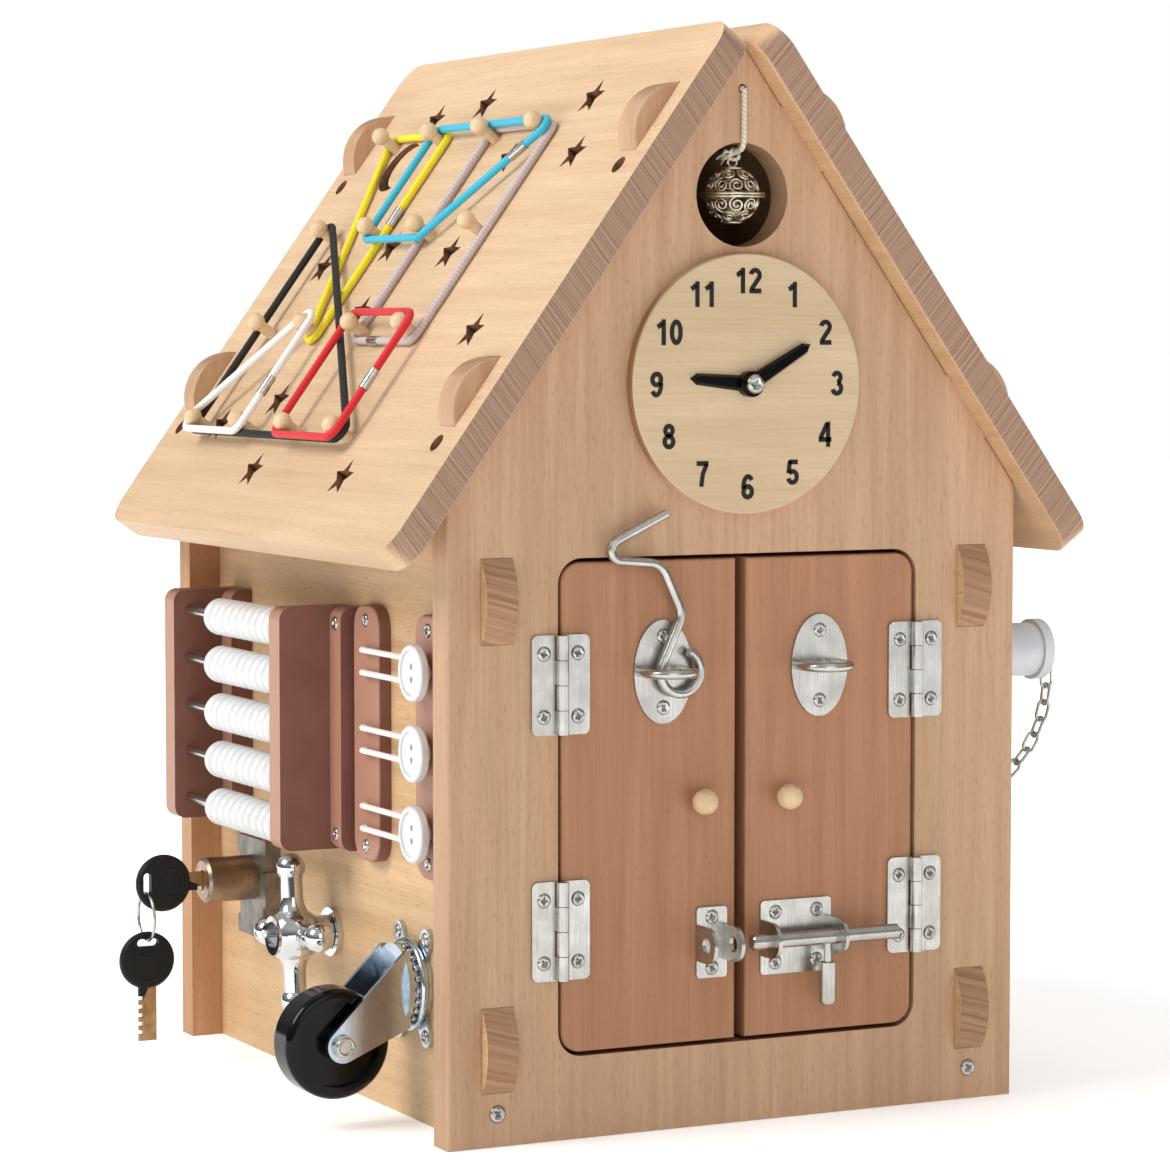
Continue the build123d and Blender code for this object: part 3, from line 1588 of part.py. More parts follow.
link = chain_link()
link_hold = lug_radius - lug_wire / 2 - chain_play + chain_link_long / 2 - chain_wire
headings = [math.radians(chain_start_angle + number * chain_turn) for number in range(chain_links)]
link_places = []
link_x = lug_x + (link_hold - chain_pitch / 2) * math.cos(headings[0])
link_z = plug_height + (link_hold - chain_pitch / 2) * math.sin(headings[0])
for number, heading in enumerate(headings):
    before = headings[max(number - 1, 0)]
    reach = chain_pitch / 2 if number else 0
    link_x = link_x + reach * math.cos(before) + chain_pitch / 2 * math.cos(heading)
    link_z = link_z + reach * math.sin(before) + chain_pitch / 2 * math.sin(heading)
    along = (math.cos(heading), 0, math.sin(heading))
    across = (0, 1, 0) if number % 2 else (-math.sin(heading), 0, math.cos(heading))
    link_places.append(Plane(origin=(link_x, plug_place, link_z), x_dir=along, z_dir=across).location)
eye_end_x = link_x + link_hold * math.cos(heading)
eye_end_z = link_z + link_hold * math.sin(heading)
eye_plane = Plane(origin=(side_x, plug_place, eye_end_z), x_dir=(0, 1, 0), z_dir=(1, 0, 0))

# Chain from the plug's ring back to an eye on the right wall
with BuildPart() as plug_chain:
    with Locations(*link_places):
        add(link)
    with BuildSketch(eye_plane):
        Circle(chain_eye_plate / 2)
    extrude(amount=chain_eye_plate_thickness)
    with BuildSketch(eye_plane):
        Circle(lug_wire / 2)
    extrude(amount=eye_end_x - side_x - lug_radius)
    with Locations((eye_end_x, plug_place, eye_end_z)):
        Torus(lug_radius, lug_wire / 2)
plug_chain.part.label = "plug_chain"
export_step(plug_chain.part, "parts/plug_chain.step")
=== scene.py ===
"""Looks of the wooden busy house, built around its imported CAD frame."""

from __future__ import annotations

import json
import logging
import math
import random
from collections.abc import Callable, Iterable, Sequence
from dataclasses import dataclass, field
from enum import Enum
from functools import partial

import bmesh
import bpy
from mathutils import Matrix, Vector

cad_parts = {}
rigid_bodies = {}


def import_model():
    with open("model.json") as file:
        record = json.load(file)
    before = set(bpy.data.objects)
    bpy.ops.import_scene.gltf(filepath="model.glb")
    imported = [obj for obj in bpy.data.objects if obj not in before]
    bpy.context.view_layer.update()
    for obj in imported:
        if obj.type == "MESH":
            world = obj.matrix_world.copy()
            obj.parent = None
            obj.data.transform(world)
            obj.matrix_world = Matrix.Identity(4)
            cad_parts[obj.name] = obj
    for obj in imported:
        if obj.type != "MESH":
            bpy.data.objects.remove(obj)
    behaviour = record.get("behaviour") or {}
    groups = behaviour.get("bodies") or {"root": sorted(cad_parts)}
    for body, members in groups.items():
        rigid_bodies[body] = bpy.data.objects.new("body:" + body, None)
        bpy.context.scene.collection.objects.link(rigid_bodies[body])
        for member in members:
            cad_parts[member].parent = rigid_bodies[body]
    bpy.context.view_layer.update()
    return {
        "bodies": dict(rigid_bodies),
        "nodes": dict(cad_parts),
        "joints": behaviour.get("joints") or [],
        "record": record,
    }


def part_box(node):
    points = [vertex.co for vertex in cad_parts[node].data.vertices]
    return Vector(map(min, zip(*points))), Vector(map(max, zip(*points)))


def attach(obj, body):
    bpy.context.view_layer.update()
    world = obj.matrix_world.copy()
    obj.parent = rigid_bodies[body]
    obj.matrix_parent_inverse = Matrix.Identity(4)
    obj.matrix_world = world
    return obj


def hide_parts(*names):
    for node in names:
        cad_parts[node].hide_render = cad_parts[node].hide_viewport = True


LOG = logging.getLogger("busy_house")
MM = 0.001
# Least and greatest value of a noise, and the part of that range that most of its values lie in.
WHOLE_SPAN = (0.0, 1.0)
NOISE_SPAN = (0.3, 0.7)
# Inputs of a colour mix, by number.
SHARE, FIRST, SECOND = 0, 6, 7
# Radius in metres under which a lathe's point lies on its axis.
ON_AXIS = 1e-9
# Distance under which a stroke's two ends are one point.
SAME_POINT = 1e-6

Pair = tuple[float, float]
Point = tuple[float, float, float]
Route = Sequence[Vector | Point]
Adder = Callable[..., bpy.types.Node]
FaceTest = Callable[[bpy.types.MeshPolygon], bool]

ALONG_X, ALONG_Y, ALONG_Z = (1.0, 0.0, 0.0), (0.0, 1.0, 0.0), (0.0, 0.0, 1.0)
WHITE = (1.0, 1.0, 1.0, 1.0)
# Ways that the front and the left wall face.
OFF_FRONT, OFF_LEFT = (0.0, -1.0, 0.0), (-1.0, 0.0, 0.0)


class Grain(Enum):
    """Axis that a board's fibres run along."""

    ACROSS = ALONG_X
    DEEP = ALONG_Y
    UPRIGHT = ALONG_Z


def linear(hex_code: str) -> tuple[float, float, float, float]:
    """Turn an sRGB hex colour into linear light, by the curve of the sRGB standard.

    Args:
        hex_code: Colour such as "#d8b489".

    Returns:
        Linear red, green, blue and an alpha of one.
    """
    parts = [int(hex_code[i : i + 2], 16) / 255 for i in (1, 3, 5)]
    red, green, blue = (c / 12.92 if c <= 0.04045 else ((c + 0.055) / 1.055) ** 2.4 for c in parts)
    return red, green, blue, 1.0


def compass(count: int) -> list[Pair]:
    """Cosines and sines of evenly spaced turns round a circle."""
    turns = [2 * math.pi * i / count for i in range(count)]
    return [(math.cos(t), math.sin(t)) for t in turns]


def add_node(
    tree: bpy.types.NodeTree,
    kind: str,
    inputs: dict | Sequence = (),
    stops: Iterable[tuple[float, str]] = (),
    **settings: object,
) -> bpy.types.Node:
    """Add a node to a tree with its settings, values and links.

    Args:
        tree: Tree that gets the node.
        kind: Blender's name for the kind of node.
        inputs: Values, or sockets or nodes to link from, by the input's name or number, or in
            order from the first. A node stands for its first output that is in use.
        stops: Places and colours of a colour ramp.
        settings: Properties of the node.

    Returns:
        The new node.
    """
    node = tree.nodes.new(kind)
    for name, value in settings.items():
        setattr(node, name, value)
    for key, value in inputs.items() if isinstance(inputs, dict) else enumerate(inputs):
        if isinstance(value, bpy.types.Node):
            value = next(socket for socket in value.outputs if socket.enabled)
        if isinstance(value, bpy.types.NodeSocket):
            tree.links.new(value, node.inputs[key])
        else:
            node.inputs[key].default_value = value
    if stops:
        for element, (place, colour) in zip(node.color_ramp.elements, stops):
            element.position = place
            element.color = linear(colour)
    return node


@dataclass(frozen=True)
class Finish:
    """A material's name, and how it is made from the nodes of its looks."""

    name: str

    def looks(self, add: Adder) -> dict[str, object]:
        """Add the nodes that give the finish its looks; each kind of finish has its own.

        Args:
            add: Adds a node to the material.

        Returns:
            What the shader's inputs get.
        """
        raise NotImplementedError

    def stretched(
        self,
        add: Adder,
        place: bpy.types.NodeSocket,
        grain: Grain,
        across_mm: float,
        along_mm: float,
    ) -> bpy.types.Node:
        """Scale coordinates so that one unit is a pattern's size across and along an axis.

        Args:
            add: Adds a node to the material.
            place: Socket with object coordinates.
            grain: The axis.
            across_mm: Pattern size across it.
            along_mm: Pattern size along it.

        Returns:
            Node with the scaled coordinates.
        """
        scale = [1 / ((along_mm if part else across_mm) * MM) for part in grain.value]
        return add("ShaderNodeMapping", {"Vector": place, "Scale": scale})

    def build(self) -> bpy.types.Material:
        """Make the material.

        Returns:
            The finished material.
        """
        material = bpy.data.materials.new(self.name)
        material.use_nodes = True
        material.node_tree.nodes.clear()
        add = partial(add_node, material.node_tree)
        shader = add("ShaderNodeBsdfPrincipled", self.looks(add))
        add("ShaderNodeOutputMaterial", {"Surface": shader})
        return material


@dataclass(frozen=True)
class WoodFinish(Finish):
    """Sanded, lightly oiled wood: pale brown with short dark ray flecks and a dull sheen."""

    early: str
    late: str
    fleck: str
    end: str
    end_line: str
    grain: Grain
    stave_axis: Point
    ring_axis: Point
    stave_mm: float = 46.0
    stave_tone: Pair = (0.94, 1.04)
    figure_mm: float = 7.0
    figure_length_mm: float = 150.0
    figure_cut: Pair = (0.3, 0.72)
    fibre_mm: float = 0.9
    fibre_length_mm: float = 40.0
    fibre_tone: Pair = (0.93, 1.05)
    fibre_height_mm: float = 0.12
    # Real flecks are about 0.3 mm wide; they are drawn wider so that they show in the render.
    fleck_mm: float = 0.55
    fleck_length_mm: float = 4.2
    fleck_cut: Pair = (0.62, 0.76)
    fleck_strength: float = 0.42
    ring_mm: float = 2.2
    ring_wander_mm: float = 2.4
    ring_wave_mm: float = 18.0
    ring_cut: Pair = (0.35, 0.7)
    ring_strength: float = 0.85
    # Real pores are too fine to show; they are drawn as coarse as they need to be.
    pore_mm: float = 0.5
    pore_tone: Pair = (0.88, 1.08)
    end_cut: Pair = (0.6, 0.85)
    roughness: float = 0.5
    roughness_spread: Pair = (-0.06, 0.08)
    gloss: float = 0.35

    def long_grain(
        self, add: Adder, place: bpy.types.NodeSocket, fibre: bpy.types.Node
    ) -> bpy.types.Node:
        """Colour the wood along its grain: a slow figure, fine fibres and glued staves.

        Args:
            add: Adds a node to the material.
            place: Socket with object coordinates.
            fibre: Noise of the fibres.

        Returns:
            Node with the colour.
        """
        sizes = (self.figure_mm, self.figure_length_mm)
        grown = self.stretched(add, place, self.grain, *sizes)
        figure = add(
            "ShaderNodeTexNoise",
            {"Vector": grown, "Scale": 1.0, "Detail": 4.0, "Roughness": 0.6, "Distortion": 0.4},
        )
        body = add("ShaderNodeValToRGB", [figure], zip(self.figure_cut, (self.early, self.late)))
        fibre_tone = add("ShaderNodeMapRange", [fibre, *NOISE_SPAN, *self.fibre_tone])
        along = add("ShaderNodeVectorMath", [place, self.stave_axis], operation="DOT_PRODUCT")
        stave = add("ShaderNodeMath", [along, 1 / (self.stave_mm * MM)], operation="MULTIPLY")
        number = add("ShaderNodeMath", [stave], operation="FLOOR")
        shade = add("ShaderNodeTexWhiteNoise", {"W": number}, noise_dimensions="1D")
        stave_tone = add("ShaderNodeMapRange", [shade, *WHOLE_SPAN, *self.stave_tone])
        tone = add("ShaderNodeMath", [fibre_tone, stave_tone], operation="MULTIPLY")
        return add("ShaderNodeVectorMath", {0: body, "Scale": tone}, operation="SCALE")

    def end_grain(self, add: Adder, place: bpy.types.NodeSocket) -> bpy.types.Node:
        """Colour the wood across its grain: wandering year rings with pores.

        Args:
            add: Adds a node to the material.
            place: Socket with object coordinates.

        Returns:
            Node with the colour.
        """
        lie = add("ShaderNodeVectorMath", [place, self.ring_axis], operation="DOT_PRODUCT")
        wave = {"Vector": place, "Scale": 1 / (self.ring_wave_mm * MM), "Detail": 2.0}
        wander = add("ShaderNodeTexNoise", wave)
        shift = add("ShaderNodeMath", [wander, self.ring_wander_mm * MM], operation="MULTIPLY")
        ring = add("ShaderNodeMath", [lie, shift], operation="ADD")
        count = add("ShaderNodeMath", [ring, 1 / (self.ring_mm * MM)], operation="MULTIPLY")
        streak = {"W": count, "Scale": 1.0, "Detail": 2.0}
        streaks = add("ShaderNodeTexNoise", streak, noise_dimensions="1D")
        share = add("ShaderNodeMapRange", [streaks, *self.ring_cut, 0.0, self.ring_strength])
        colours = {SHARE: share, FIRST: linear(self.end), SECOND: linear(self.end_line)}
        rings = add("ShaderNodeMix", colours, data_type="RGBA")
        grit = {"Vector": place, "Scale": 1 / (self.pore_mm * MM), "Detail": 1.0}
        pores = add("ShaderNodeTexNoise", grit)
        tone = add("ShaderNodeMapRange", [pores, *NOISE_SPAN, *self.pore_tone])
        return add("ShaderNodeVectorMath", {0: rings, "Scale": tone}, operation="SCALE")

    def looks(self, add: Adder) -> dict[str, object]:
        """Add the nodes of the grain, its flecks and the end grain.

        Args:
            add: Adds a node to the material.

        Returns:
            What the shader's inputs get.
        """
        coords = add("ShaderNodeTexCoord")
        place, normal = coords.outputs["Object"], coords.outputs["Normal"]
        sizes = (self.fibre_mm, self.fibre_length_mm)
        combed = self.stretched(add, place, self.grain, *sizes)
        fibre = add("ShaderNodeTexNoise", {"Vector": combed, "Scale": 1.0, "Detail": 2.0})
        sizes = (self.fleck_mm, self.fleck_length_mm)
        dotted = self.stretched(add, place, self.grain, *sizes)
        flecks = add("ShaderNodeTexNoise", {"Vector": dotted, "Scale": 1.0, "Detail": 1.0})
        fleck_share = add("ShaderNodeMapRange", [flecks, *self.fleck_cut, 0.0, self.fleck_strength])
        wood = self.long_grain(add, place, fibre)
        colours = {SHARE: fleck_share, FIRST: wood, SECOND: linear(self.fleck)}
        flecked = add("ShaderNodeMix", colours, data_type="RGBA")
        facing = add("ShaderNodeVectorMath", [normal, self.grain.value], operation="DOT_PRODUCT")
        cut = add("ShaderNodeMath", [facing], operation="ABSOLUTE")
        end_share = add("ShaderNodeMapRange", [cut, *self.end_cut])
        colours = {SHARE: end_share, FIRST: flecked, SECOND: self.end_grain(add, place)}
        low, high = (self.roughness + spread for spread in self.roughness_spread)
        height = add("ShaderNodeMath", [fibre, fleck_share], operation="SUBTRACT")
        relief = {"Height": height, "Strength": 0.12, "Distance": self.fibre_height_mm * MM}
        return {
            "Base Color": add("ShaderNodeMix", colours, data_type="RGBA"),
            "Roughness": add("ShaderNodeMapRange", [fibre, *WHOLE_SPAN, low, high]),
            "Normal": add("ShaderNodeBump", relief),
            "Specular IOR Level": self.gloss,
        }


@dataclass(frozen=True)
class MetalFinish(Finish):
    """Bare or plated metal: the colour of its reflections, with the fine lines of its brushing."""

    light: str
    dark: str
    roughness: float
    # Real brush lines are finer; they are drawn as coarse as they need to be to show.
    brush_mm: float = 0.25
    brush_length_mm: float = 14.0
    brush_axis: Grain = Grain.UPRIGHT
    smudge_mm: float = 9.0
    tint_cut: Pair = (0.1, 0.42)
    dull_cut: Pair = (0.1, 0.5)
    spread: float = 0.1
    line_height_mm: float = 0.004

    def looks(self, add: Adder) -> dict[str, object]:
        """Add the nodes of the brush lines and smudges.

        Args:
            add: Adds a node to the material.

        Returns:
            What the shader's inputs get.
        """
        place = add("ShaderNodeTexCoord").outputs["Object"]
        sizes = (self.brush_mm, self.brush_length_mm)
        drawn = self.stretched(add, place, self.brush_axis, *sizes)
        lines = add("ShaderNodeTexNoise", {"Vector": drawn, "Scale": 1.0, "Detail": 2.0})
        smear = {"Vector": place, "Scale": 1 / (self.smudge_mm * MM), "Detail": 3.0}
        smudges = add("ShaderNodeTexNoise", smear)
        mixed = add("ShaderNodeMath", [lines, smudges], operation="MULTIPLY")
        ends = (self.roughness + self.spread, self.roughness)
        relief = {"Height": lines, "Strength": 0.25, "Distance": self.line_height_mm * MM}
        stops = zip(self.tint_cut, (self.dark, self.light))
        return {
            "Base Color": add("ShaderNodeValToRGB", [mixed], stops),
            "Roughness": add("ShaderNodeMapRange", [mixed, *self.dull_cut, *ends]),
            "Normal": add("ShaderNodeBump", relief),
            "Metallic": 1.0,
        }


@dataclass(frozen=True)
class CoatFinish(Finish):
    """Moulded plastic, paint, ink or char: one colour that drifts a little, with a faint skin.

    A coat with a lit-side colour is painted paler on faces that turn towards the light: painted
    light.
    """

    colour: str
    shade: str
    roughness: float
    skin_mm: float = 0.8
    drift_mm: float = 16.0
    drift_cut: Pair = (0.32, 0.62)
    skin_height_mm: float = 0.012
    roughness_spread: Pair = (-0.05, 0.07)
    gloss: float = 0.5
    # Painted light: faces that turn the given way, towards the lamp, get a paler colour.
    outer: str | None = None
    outward: Point = OFF_LEFT
    outward_cut: Pair = (0.3, 0.9)

    def looks(self, add: Adder) -> dict[str, object]:
        """Add the nodes of the coat's drift and skin.

        Args:
            add: Adds a node to the material.

        Returns:
            What the shader's inputs get.
        """
        coords = add("ShaderNodeTexCoord")
        place, normal = coords.outputs["Object"], coords.outputs["Normal"]
        cloud = {"Vector": place, "Scale": 1 / (self.drift_mm * MM), "Detail": 4.0}
        drift = add("ShaderNodeTexNoise", cloud)
        grit = {"Vector": place, "Scale": 1 / (self.skin_mm * MM), "Detail": 2.0}
        skin = add("ShaderNodeTexNoise", grit)
        colour = add("ShaderNodeValToRGB", [drift], zip(self.drift_cut, (self.shade, self.colour)))
        # Faces that turn towards the light are painted paler: painted light.
        if self.outer:
            facing = add("ShaderNodeVectorMath", [normal, self.outward], operation="DOT_PRODUCT")
            lit_side_share = add("ShaderNodeMapRange", [facing, *self.outward_cut])
            colours = {SHARE: lit_side_share, FIRST: colour, SECOND: linear(self.outer)}
            colour = add("ShaderNodeMix", colours, data_type="RGBA")
        low, high = (self.roughness + spread for spread in self.roughness_spread)
        relief = {"Height": skin, "Strength": 0.2, "Distance": self.skin_height_mm * MM}
        return {
            "Base Color": colour,
            "Roughness": add("ShaderNodeMapRange", [skin, *WHOLE_SPAN, low, high]),
            "Normal": add("ShaderNodeBump", relief),
            "Specular IOR Level": self.gloss,
        }


@dataclass(frozen=True)
class BraidFinish(Finish):
    """Braided elastic or twisted cotton: soft thread whose strands cross as they wind round."""

    colour: str
    shade: str
    # Real strands are about 0.6 mm apart; they are drawn wider so that they show in the render.
    pitch_mm: float = 3.4
    strands: int = 4
    crossed: bool = True
    height_mm: float = 0.07
    strand_cut: Pair = (-1.0, 0.8)
    tint_cut: Pair = (0.05, 0.65)
    roughness: float = 0.72
    sheen: float = 0.12

    def looks(self, add: Adder) -> dict[str, object]:
        """Add the nodes of the strands.

        Args:
            add: Adds a node to the material.

        Returns:
            What the shader's inputs get.
        """
        along = add("ShaderNodeAttribute", attribute_name="along").outputs["Fac"]
        around = add("ShaderNodeAttribute", attribute_name="round").outputs["Vector"]
        across, up, _ = add("ShaderNodeSeparateXYZ", [around]).outputs
        angle = add("ShaderNodeMath", [up, across], operation="ARCTAN2")
        wound = add("ShaderNodeMath", [angle, float(self.strands)], operation="MULTIPLY")
        turns = 2 * math.pi / (self.pitch_mm * MM)
        run = add("ShaderNodeMath", [along, turns], operation="MULTIPLY")
        one_way = add("ShaderNodeMath", [run, wound], operation="ADD")
        strand = add("ShaderNodeMath", [one_way], operation="SINE")
        if self.crossed:
            other_way = add("ShaderNodeMath", [run, wound], operation="SUBTRACT")
            second = add("ShaderNodeMath", [other_way], operation="SINE")
            strand = add("ShaderNodeMath", [strand, second], operation="MULTIPLY")
        share = add("ShaderNodeMapRange", [strand, *self.strand_cut])
        relief = {"Height": share, "Strength": 0.5, "Distance": self.height_mm * MM}
        # The low grooves between strands get the darker shade colour: painted shade.
        stops = zip(self.tint_cut, (self.shade, self.colour))
        return {
            "Base Color": add("ShaderNodeValToRGB", [share], stops),
            "Normal": add("ShaderNodeBump", relief),
            "Roughness": self.roughness,
            "Sheen Weight": self.sheen,
        }


@dataclass(frozen=True)
class PaperFinish(Finish):
    """Coated backdrop paper: white with a painted glow, weaker near its middle, which paints a
    darker ground round the house.
    """

    tints: tuple[str, str]
    mottle_mm: float = 40.0
    roughness: float = 0.6
    glow: float = 0.36
    # The painted glow is weaker round the house, a painted darkening there, so that its soft shadow
    # shows.
    glow_reach_m: Pair = (0.28, 0.85)

    def looks(self, add: Adder) -> dict[str, object]:
        """Add the nodes of the paper's mottle and glow.

        Args:
            add: Adds a node to the material.

        Returns:
            What the shader's inputs get.
        """
        place = add("ShaderNodeTexCoord").outputs["Object"]
        cloud = {"Vector": place, "Scale": 1 / (self.mottle_mm * MM)}
        mottle = add("ShaderNodeTexNoise", cloud)
        tint = add("ShaderNodeValToRGB", [mottle], zip(NOISE_SPAN, self.tints))
        away = add("ShaderNodeVectorMath", [place], operation="LENGTH")
        glow = add("ShaderNodeMapRange", [away, *self.glow_reach_m, self.glow, 1.0])
        return {
            "Base Color": tint,
            "Emission Color": tint,
            "Emission Strength": glow,
            "Roughness": self.roughness,
        }


# Year rings of an upright board lie aslant across its top and bottom ends.
UPRIGHT_RINGS = (0.9, 0.4, 0.0)

# Oiled beech, sanded: a warm mid brown with fine upright streaks.
PALE_BEECH = WoodFinish(
    "beech_upright", "#c8a382", "#b68f6e", "#866245", "#ad8563", "#8c6747",
    grain=Grain.UPRIGHT, stave_axis=ALONG_X, ring_axis=UPRIGHT_RINGS,
)
# Oiled beech from a redder log: its edge glows orange beside the pale side board.
BACK_BEECH = WoodFinish(
    "beech_back", "#ca9b72", "#b9875f", "#8a6243", "#b98f66", "#8f6846",
    grain=Grain.UPRIGHT, stave_axis=ALONG_X, ring_axis=UPRIGHT_RINGS,
)
# Oiled beech: pale along the board, with close brown rings on its sawn ends.
LEFT_ROOF_BEECH = WoodFinish(
    "beech_left_roof", "#dcbd99", "#cdab86", "#a07a56", "#a98871", "#836453",
    grain=Grain.DEEP, stave_axis=(-0.588, 0.0, -0.809), ring_axis=(-0.78, 0.0, -0.626),
    ring_mm=1.1, ring_wander_mm=1.6,
)
# The same beech, a shade darker, with rings that lean the other way.
RIGHT_ROOF_BEECH = WoodFinish(
    "beech_right_roof", "#d8b48d", "#c8a178", "#98714c", "#ae8c75", "#866654",
    grain=Grain.DEEP, stave_axis=(0.588, 0.0, -0.809), ring_axis=(0.75, 0.0, -0.66),
    ring_mm=1.1, ring_wander_mm=1.6,
)
# Oiled beech cut near the quarter: honey coloured, with bolder flecks.
SIDE_BEECH = WoodFinish(
    "beech_side", "#d9b68c", "#caa479", "#a67d52", "#af8765", "#8a6346",
    grain=Grain.DEEP, stave_axis=ALONG_Z, ring_axis=(0.25, 0.0, 0.97),
    fleck_mm=0.8, fleck_length_mm=5.0, fleck_strength=0.6,
)
# Steamed beech: the reddish brown of the doors.
DOOR_BEECH = WoodFinish(
    "beech_door", "#b38260", "#a27151", "#7a4f36", "#98694a", "#714a32",
    grain=Grain.UPRIGHT, stave_axis=ALONG_X, ring_axis=UPRIGHT_RINGS,
    stave_mm=80.0, fleck_mm=0.6, fleck_length_mm=3.6,
)
# Turned and polished beech: the palest wood, with a soft shine.
TURNED_BEECH = WoodFinish(
    "beech_turned", "#e2c8a2", "#d5b78d", "#c09a6c", "#dcbd92", "#c5a073",
    grain=Grain.UPRIGHT, stave_axis=ALONG_X, ring_axis=UPRIGHT_RINGS, roughness=0.42,
)
# Birch plywood, cut by laser: a pale even face and a dark edge of glued layers.
BIRCH_PLY = WoodFinish(
    "birch_ply", "#d2b997", "#c6ab86", "#b99a70", "#ae8a62", "#7d5b3c",
    grain=Grain.ACROSS, stave_axis=ALONG_Z, ring_axis=ALONG_Y,
    stave_mm=300.0, figure_mm=16.0, ring_mm=1.6,
)
# Beech burnt by a laser: dull dark brown that gives the cut-outs their outline.
SCORCHED = CoatFinish(
    "laser_scorched_edge", "#94694a", "#704a30", 0.7, skin_mm=1.0, drift_mm=4.0
)
# Brushed satin paint on wood: chocolate brown, with painted light that makes it paler where it
# faces the light.
BROWN_PAINT = CoatFinish(
    "brown_satin_paint", "#81564a", "#774d42", 0.42, skin_mm=1.6, skin_height_mm=0.03,
    outer="#ab7c67",
)
# Brushed stainless sheet: soft grey with faint upright lines.
BRUSHED_STEEL = MetalFinish("brushed_stainless_steel", "#cccbc6", "#acaaa4", 0.21)
# Drawn and tumbled steel: sharper lights than the sheet's.
BRIGHT_STEEL = MetalFinish(
    "bright_steel", "#cfcec9", "#a3a19b", 0.17, brush_mm=0.6, brush_length_mm=4.0
)
# Chromium plate on polished brass: a mirror that shows the room.
CHROME = MetalFinish(
    "chrome_plate", "#dfe1e3", "#c6c9cb", 0.05, smudge_mm=14.0, spread=0.04,
    line_height_mm=0.0006,
)
# Blue passivated zinc on pressed steel: bright, with a cold blue tint.
ZINC = MetalFinish(
    "blue_zinc_plate", "#cbd5dd", "#a9b9c6", 0.15, brush_mm=0.8, brush_length_mm=3.0,
    smudge_mm=8.0, spread=0.05, line_height_mm=0.0012,
)
# Nickel plate worn on a cast bell: warm silver, darker in the hollows.
NICKEL = MetalFinish("aged_nickel", "#ebe3d2", "#a99d86", 0.24, smudge_mm=4.0)
# Bronzed zinc casting: the brownish lustre of a lock's barrel.
LOCK_BRONZE = MetalFinish("bronzed_zinc_casting", "#ac9886", "#7c6a59", 0.27, smudge_mm=7.0)
# Stamped steel plate: dull grey.
LOCK_STEEL = MetalFinish("dull_steel_plate", "#a09b93", "#757069", 0.42, smudge_mm=6.0)
# Milled brass: muted gold.
BRASS = MetalFinish("key_brass", "#bf9d75", "#8f7150", 0.27, smudge_mm=4.0)
# Moulded and polished ABS: black with clear reflections.
BLACK_GLOSS = CoatFinish("black_gloss_plastic", "#0a0a0b", "#060607", 0.13, gloss=0.22)
# Moulded ABS with a spark-eroded skin: soft black.
BLACK_MATT = CoatFinish(
    "black_moulded_plastic", "#131313", "#0c0c0c", 0.42, skin_mm=0.5, gloss=0.28
)
# Moulded polystyrene: clean white with a mild shine.
WHITE_PLASTIC = CoatFinish("white_plastic", "#dedede", "#d3d4d4", 0.33)
# Extruded PVC: a white that leans to blue, with painted shade that makes it greyer.
SHADED_TUBE_PLASTIC = CoatFinish("cool_white_plastic_shaded", "#d6d9dd", "#c9cdd2", 0.36)
# Screen-printed ink: flat black.
INK = CoatFinish("black_ink", "#1b1a18", "#121110", 0.6, skin_mm=0.4, gloss=0.3)
# Twisted cotton string: cream, with the slant of its two strands.
COTTON = BraidFinish(
    "twisted_cotton", "#dbd1bd", "#beb29b", pitch_mm=1.7, strands=2, crossed=False
)
# Coated paper: a white ground with a painted glow, dimmer round the house.
BACKDROP = PaperFinish("white_backdrop_paper", ("#fbfbfb", "#fdfdfd"))
# Braided elastic cord: a clear colour with a fine diamond weave.
ELASTICS = {
    "band_yellow": BraidFinish("yellow_elastic", "#eedc1a", "#dcc812"),
    "band_cyan": BraidFinish("cyan_elastic", "#35b5d3", "#279fc0"),
    "band_grey": BraidFinish("grey_elastic", "#c4b6b3", "#ae9f9c"),
    "band_red": BraidFinish("red_elastic", "#d3141f", "#b90f19"),
    "band_white": BraidFinish("white_elastic", "#ebe9e7", "#dad7d5"),
    "band_black": BraidFinish("black_elastic", "#111111", "#060606", sheen=0.0),
}


class Plane(Enum):
    """Numbers of the two axes that a circle lies along."""

    LEVEL = (0, 1)
    FRONT = (0, 2)
    SIDE = (1, 2)


def circle(middle: Point, radius: float, count: int, plane: Plane) -> list[Vector]:
    """Points round a circle.

    Args:
        middle: Its middle.
        radius: Its radius.
        count: Number of points.
        plane: Plane that it lies in.

    Returns:
        The points.
    """
    first, second = plane.value
    points = [Vector(middle) for _ in range(count)]
    for point, (cosine, sine) in zip(points, compass(count)):
        point[first] += radius * cosine
        point[second] += radius * sine
    return points


def link_object(name: str, data: bpy.types.ID) -> bpy.types.Object:
    """Put new object data into the scene at the origin.

    Args:
        name: Name of the object.
        data: Its mesh, curve, light or camera.

    Returns:
        The new object.
    """
    made = bpy.data.objects.new(name, data)
    bpy.context.scene.collection.objects.link(made)
    return made


def close_mesh(name: str, work: bmesh.types.BMesh) -> bpy.types.Object:
    """Turn a worked mesh's faces outwards and put it into the scene.

    Args:
        name: Name of the object.
        work: The worked mesh; it is freed.

    Returns:
        The new object.
    """
    bmesh.ops.recalc_face_normals(work, faces=work.faces)
    mesh = bpy.data.meshes.new(name)
    work.to_mesh(mesh)
    work.free()
    return link_object(name, mesh)


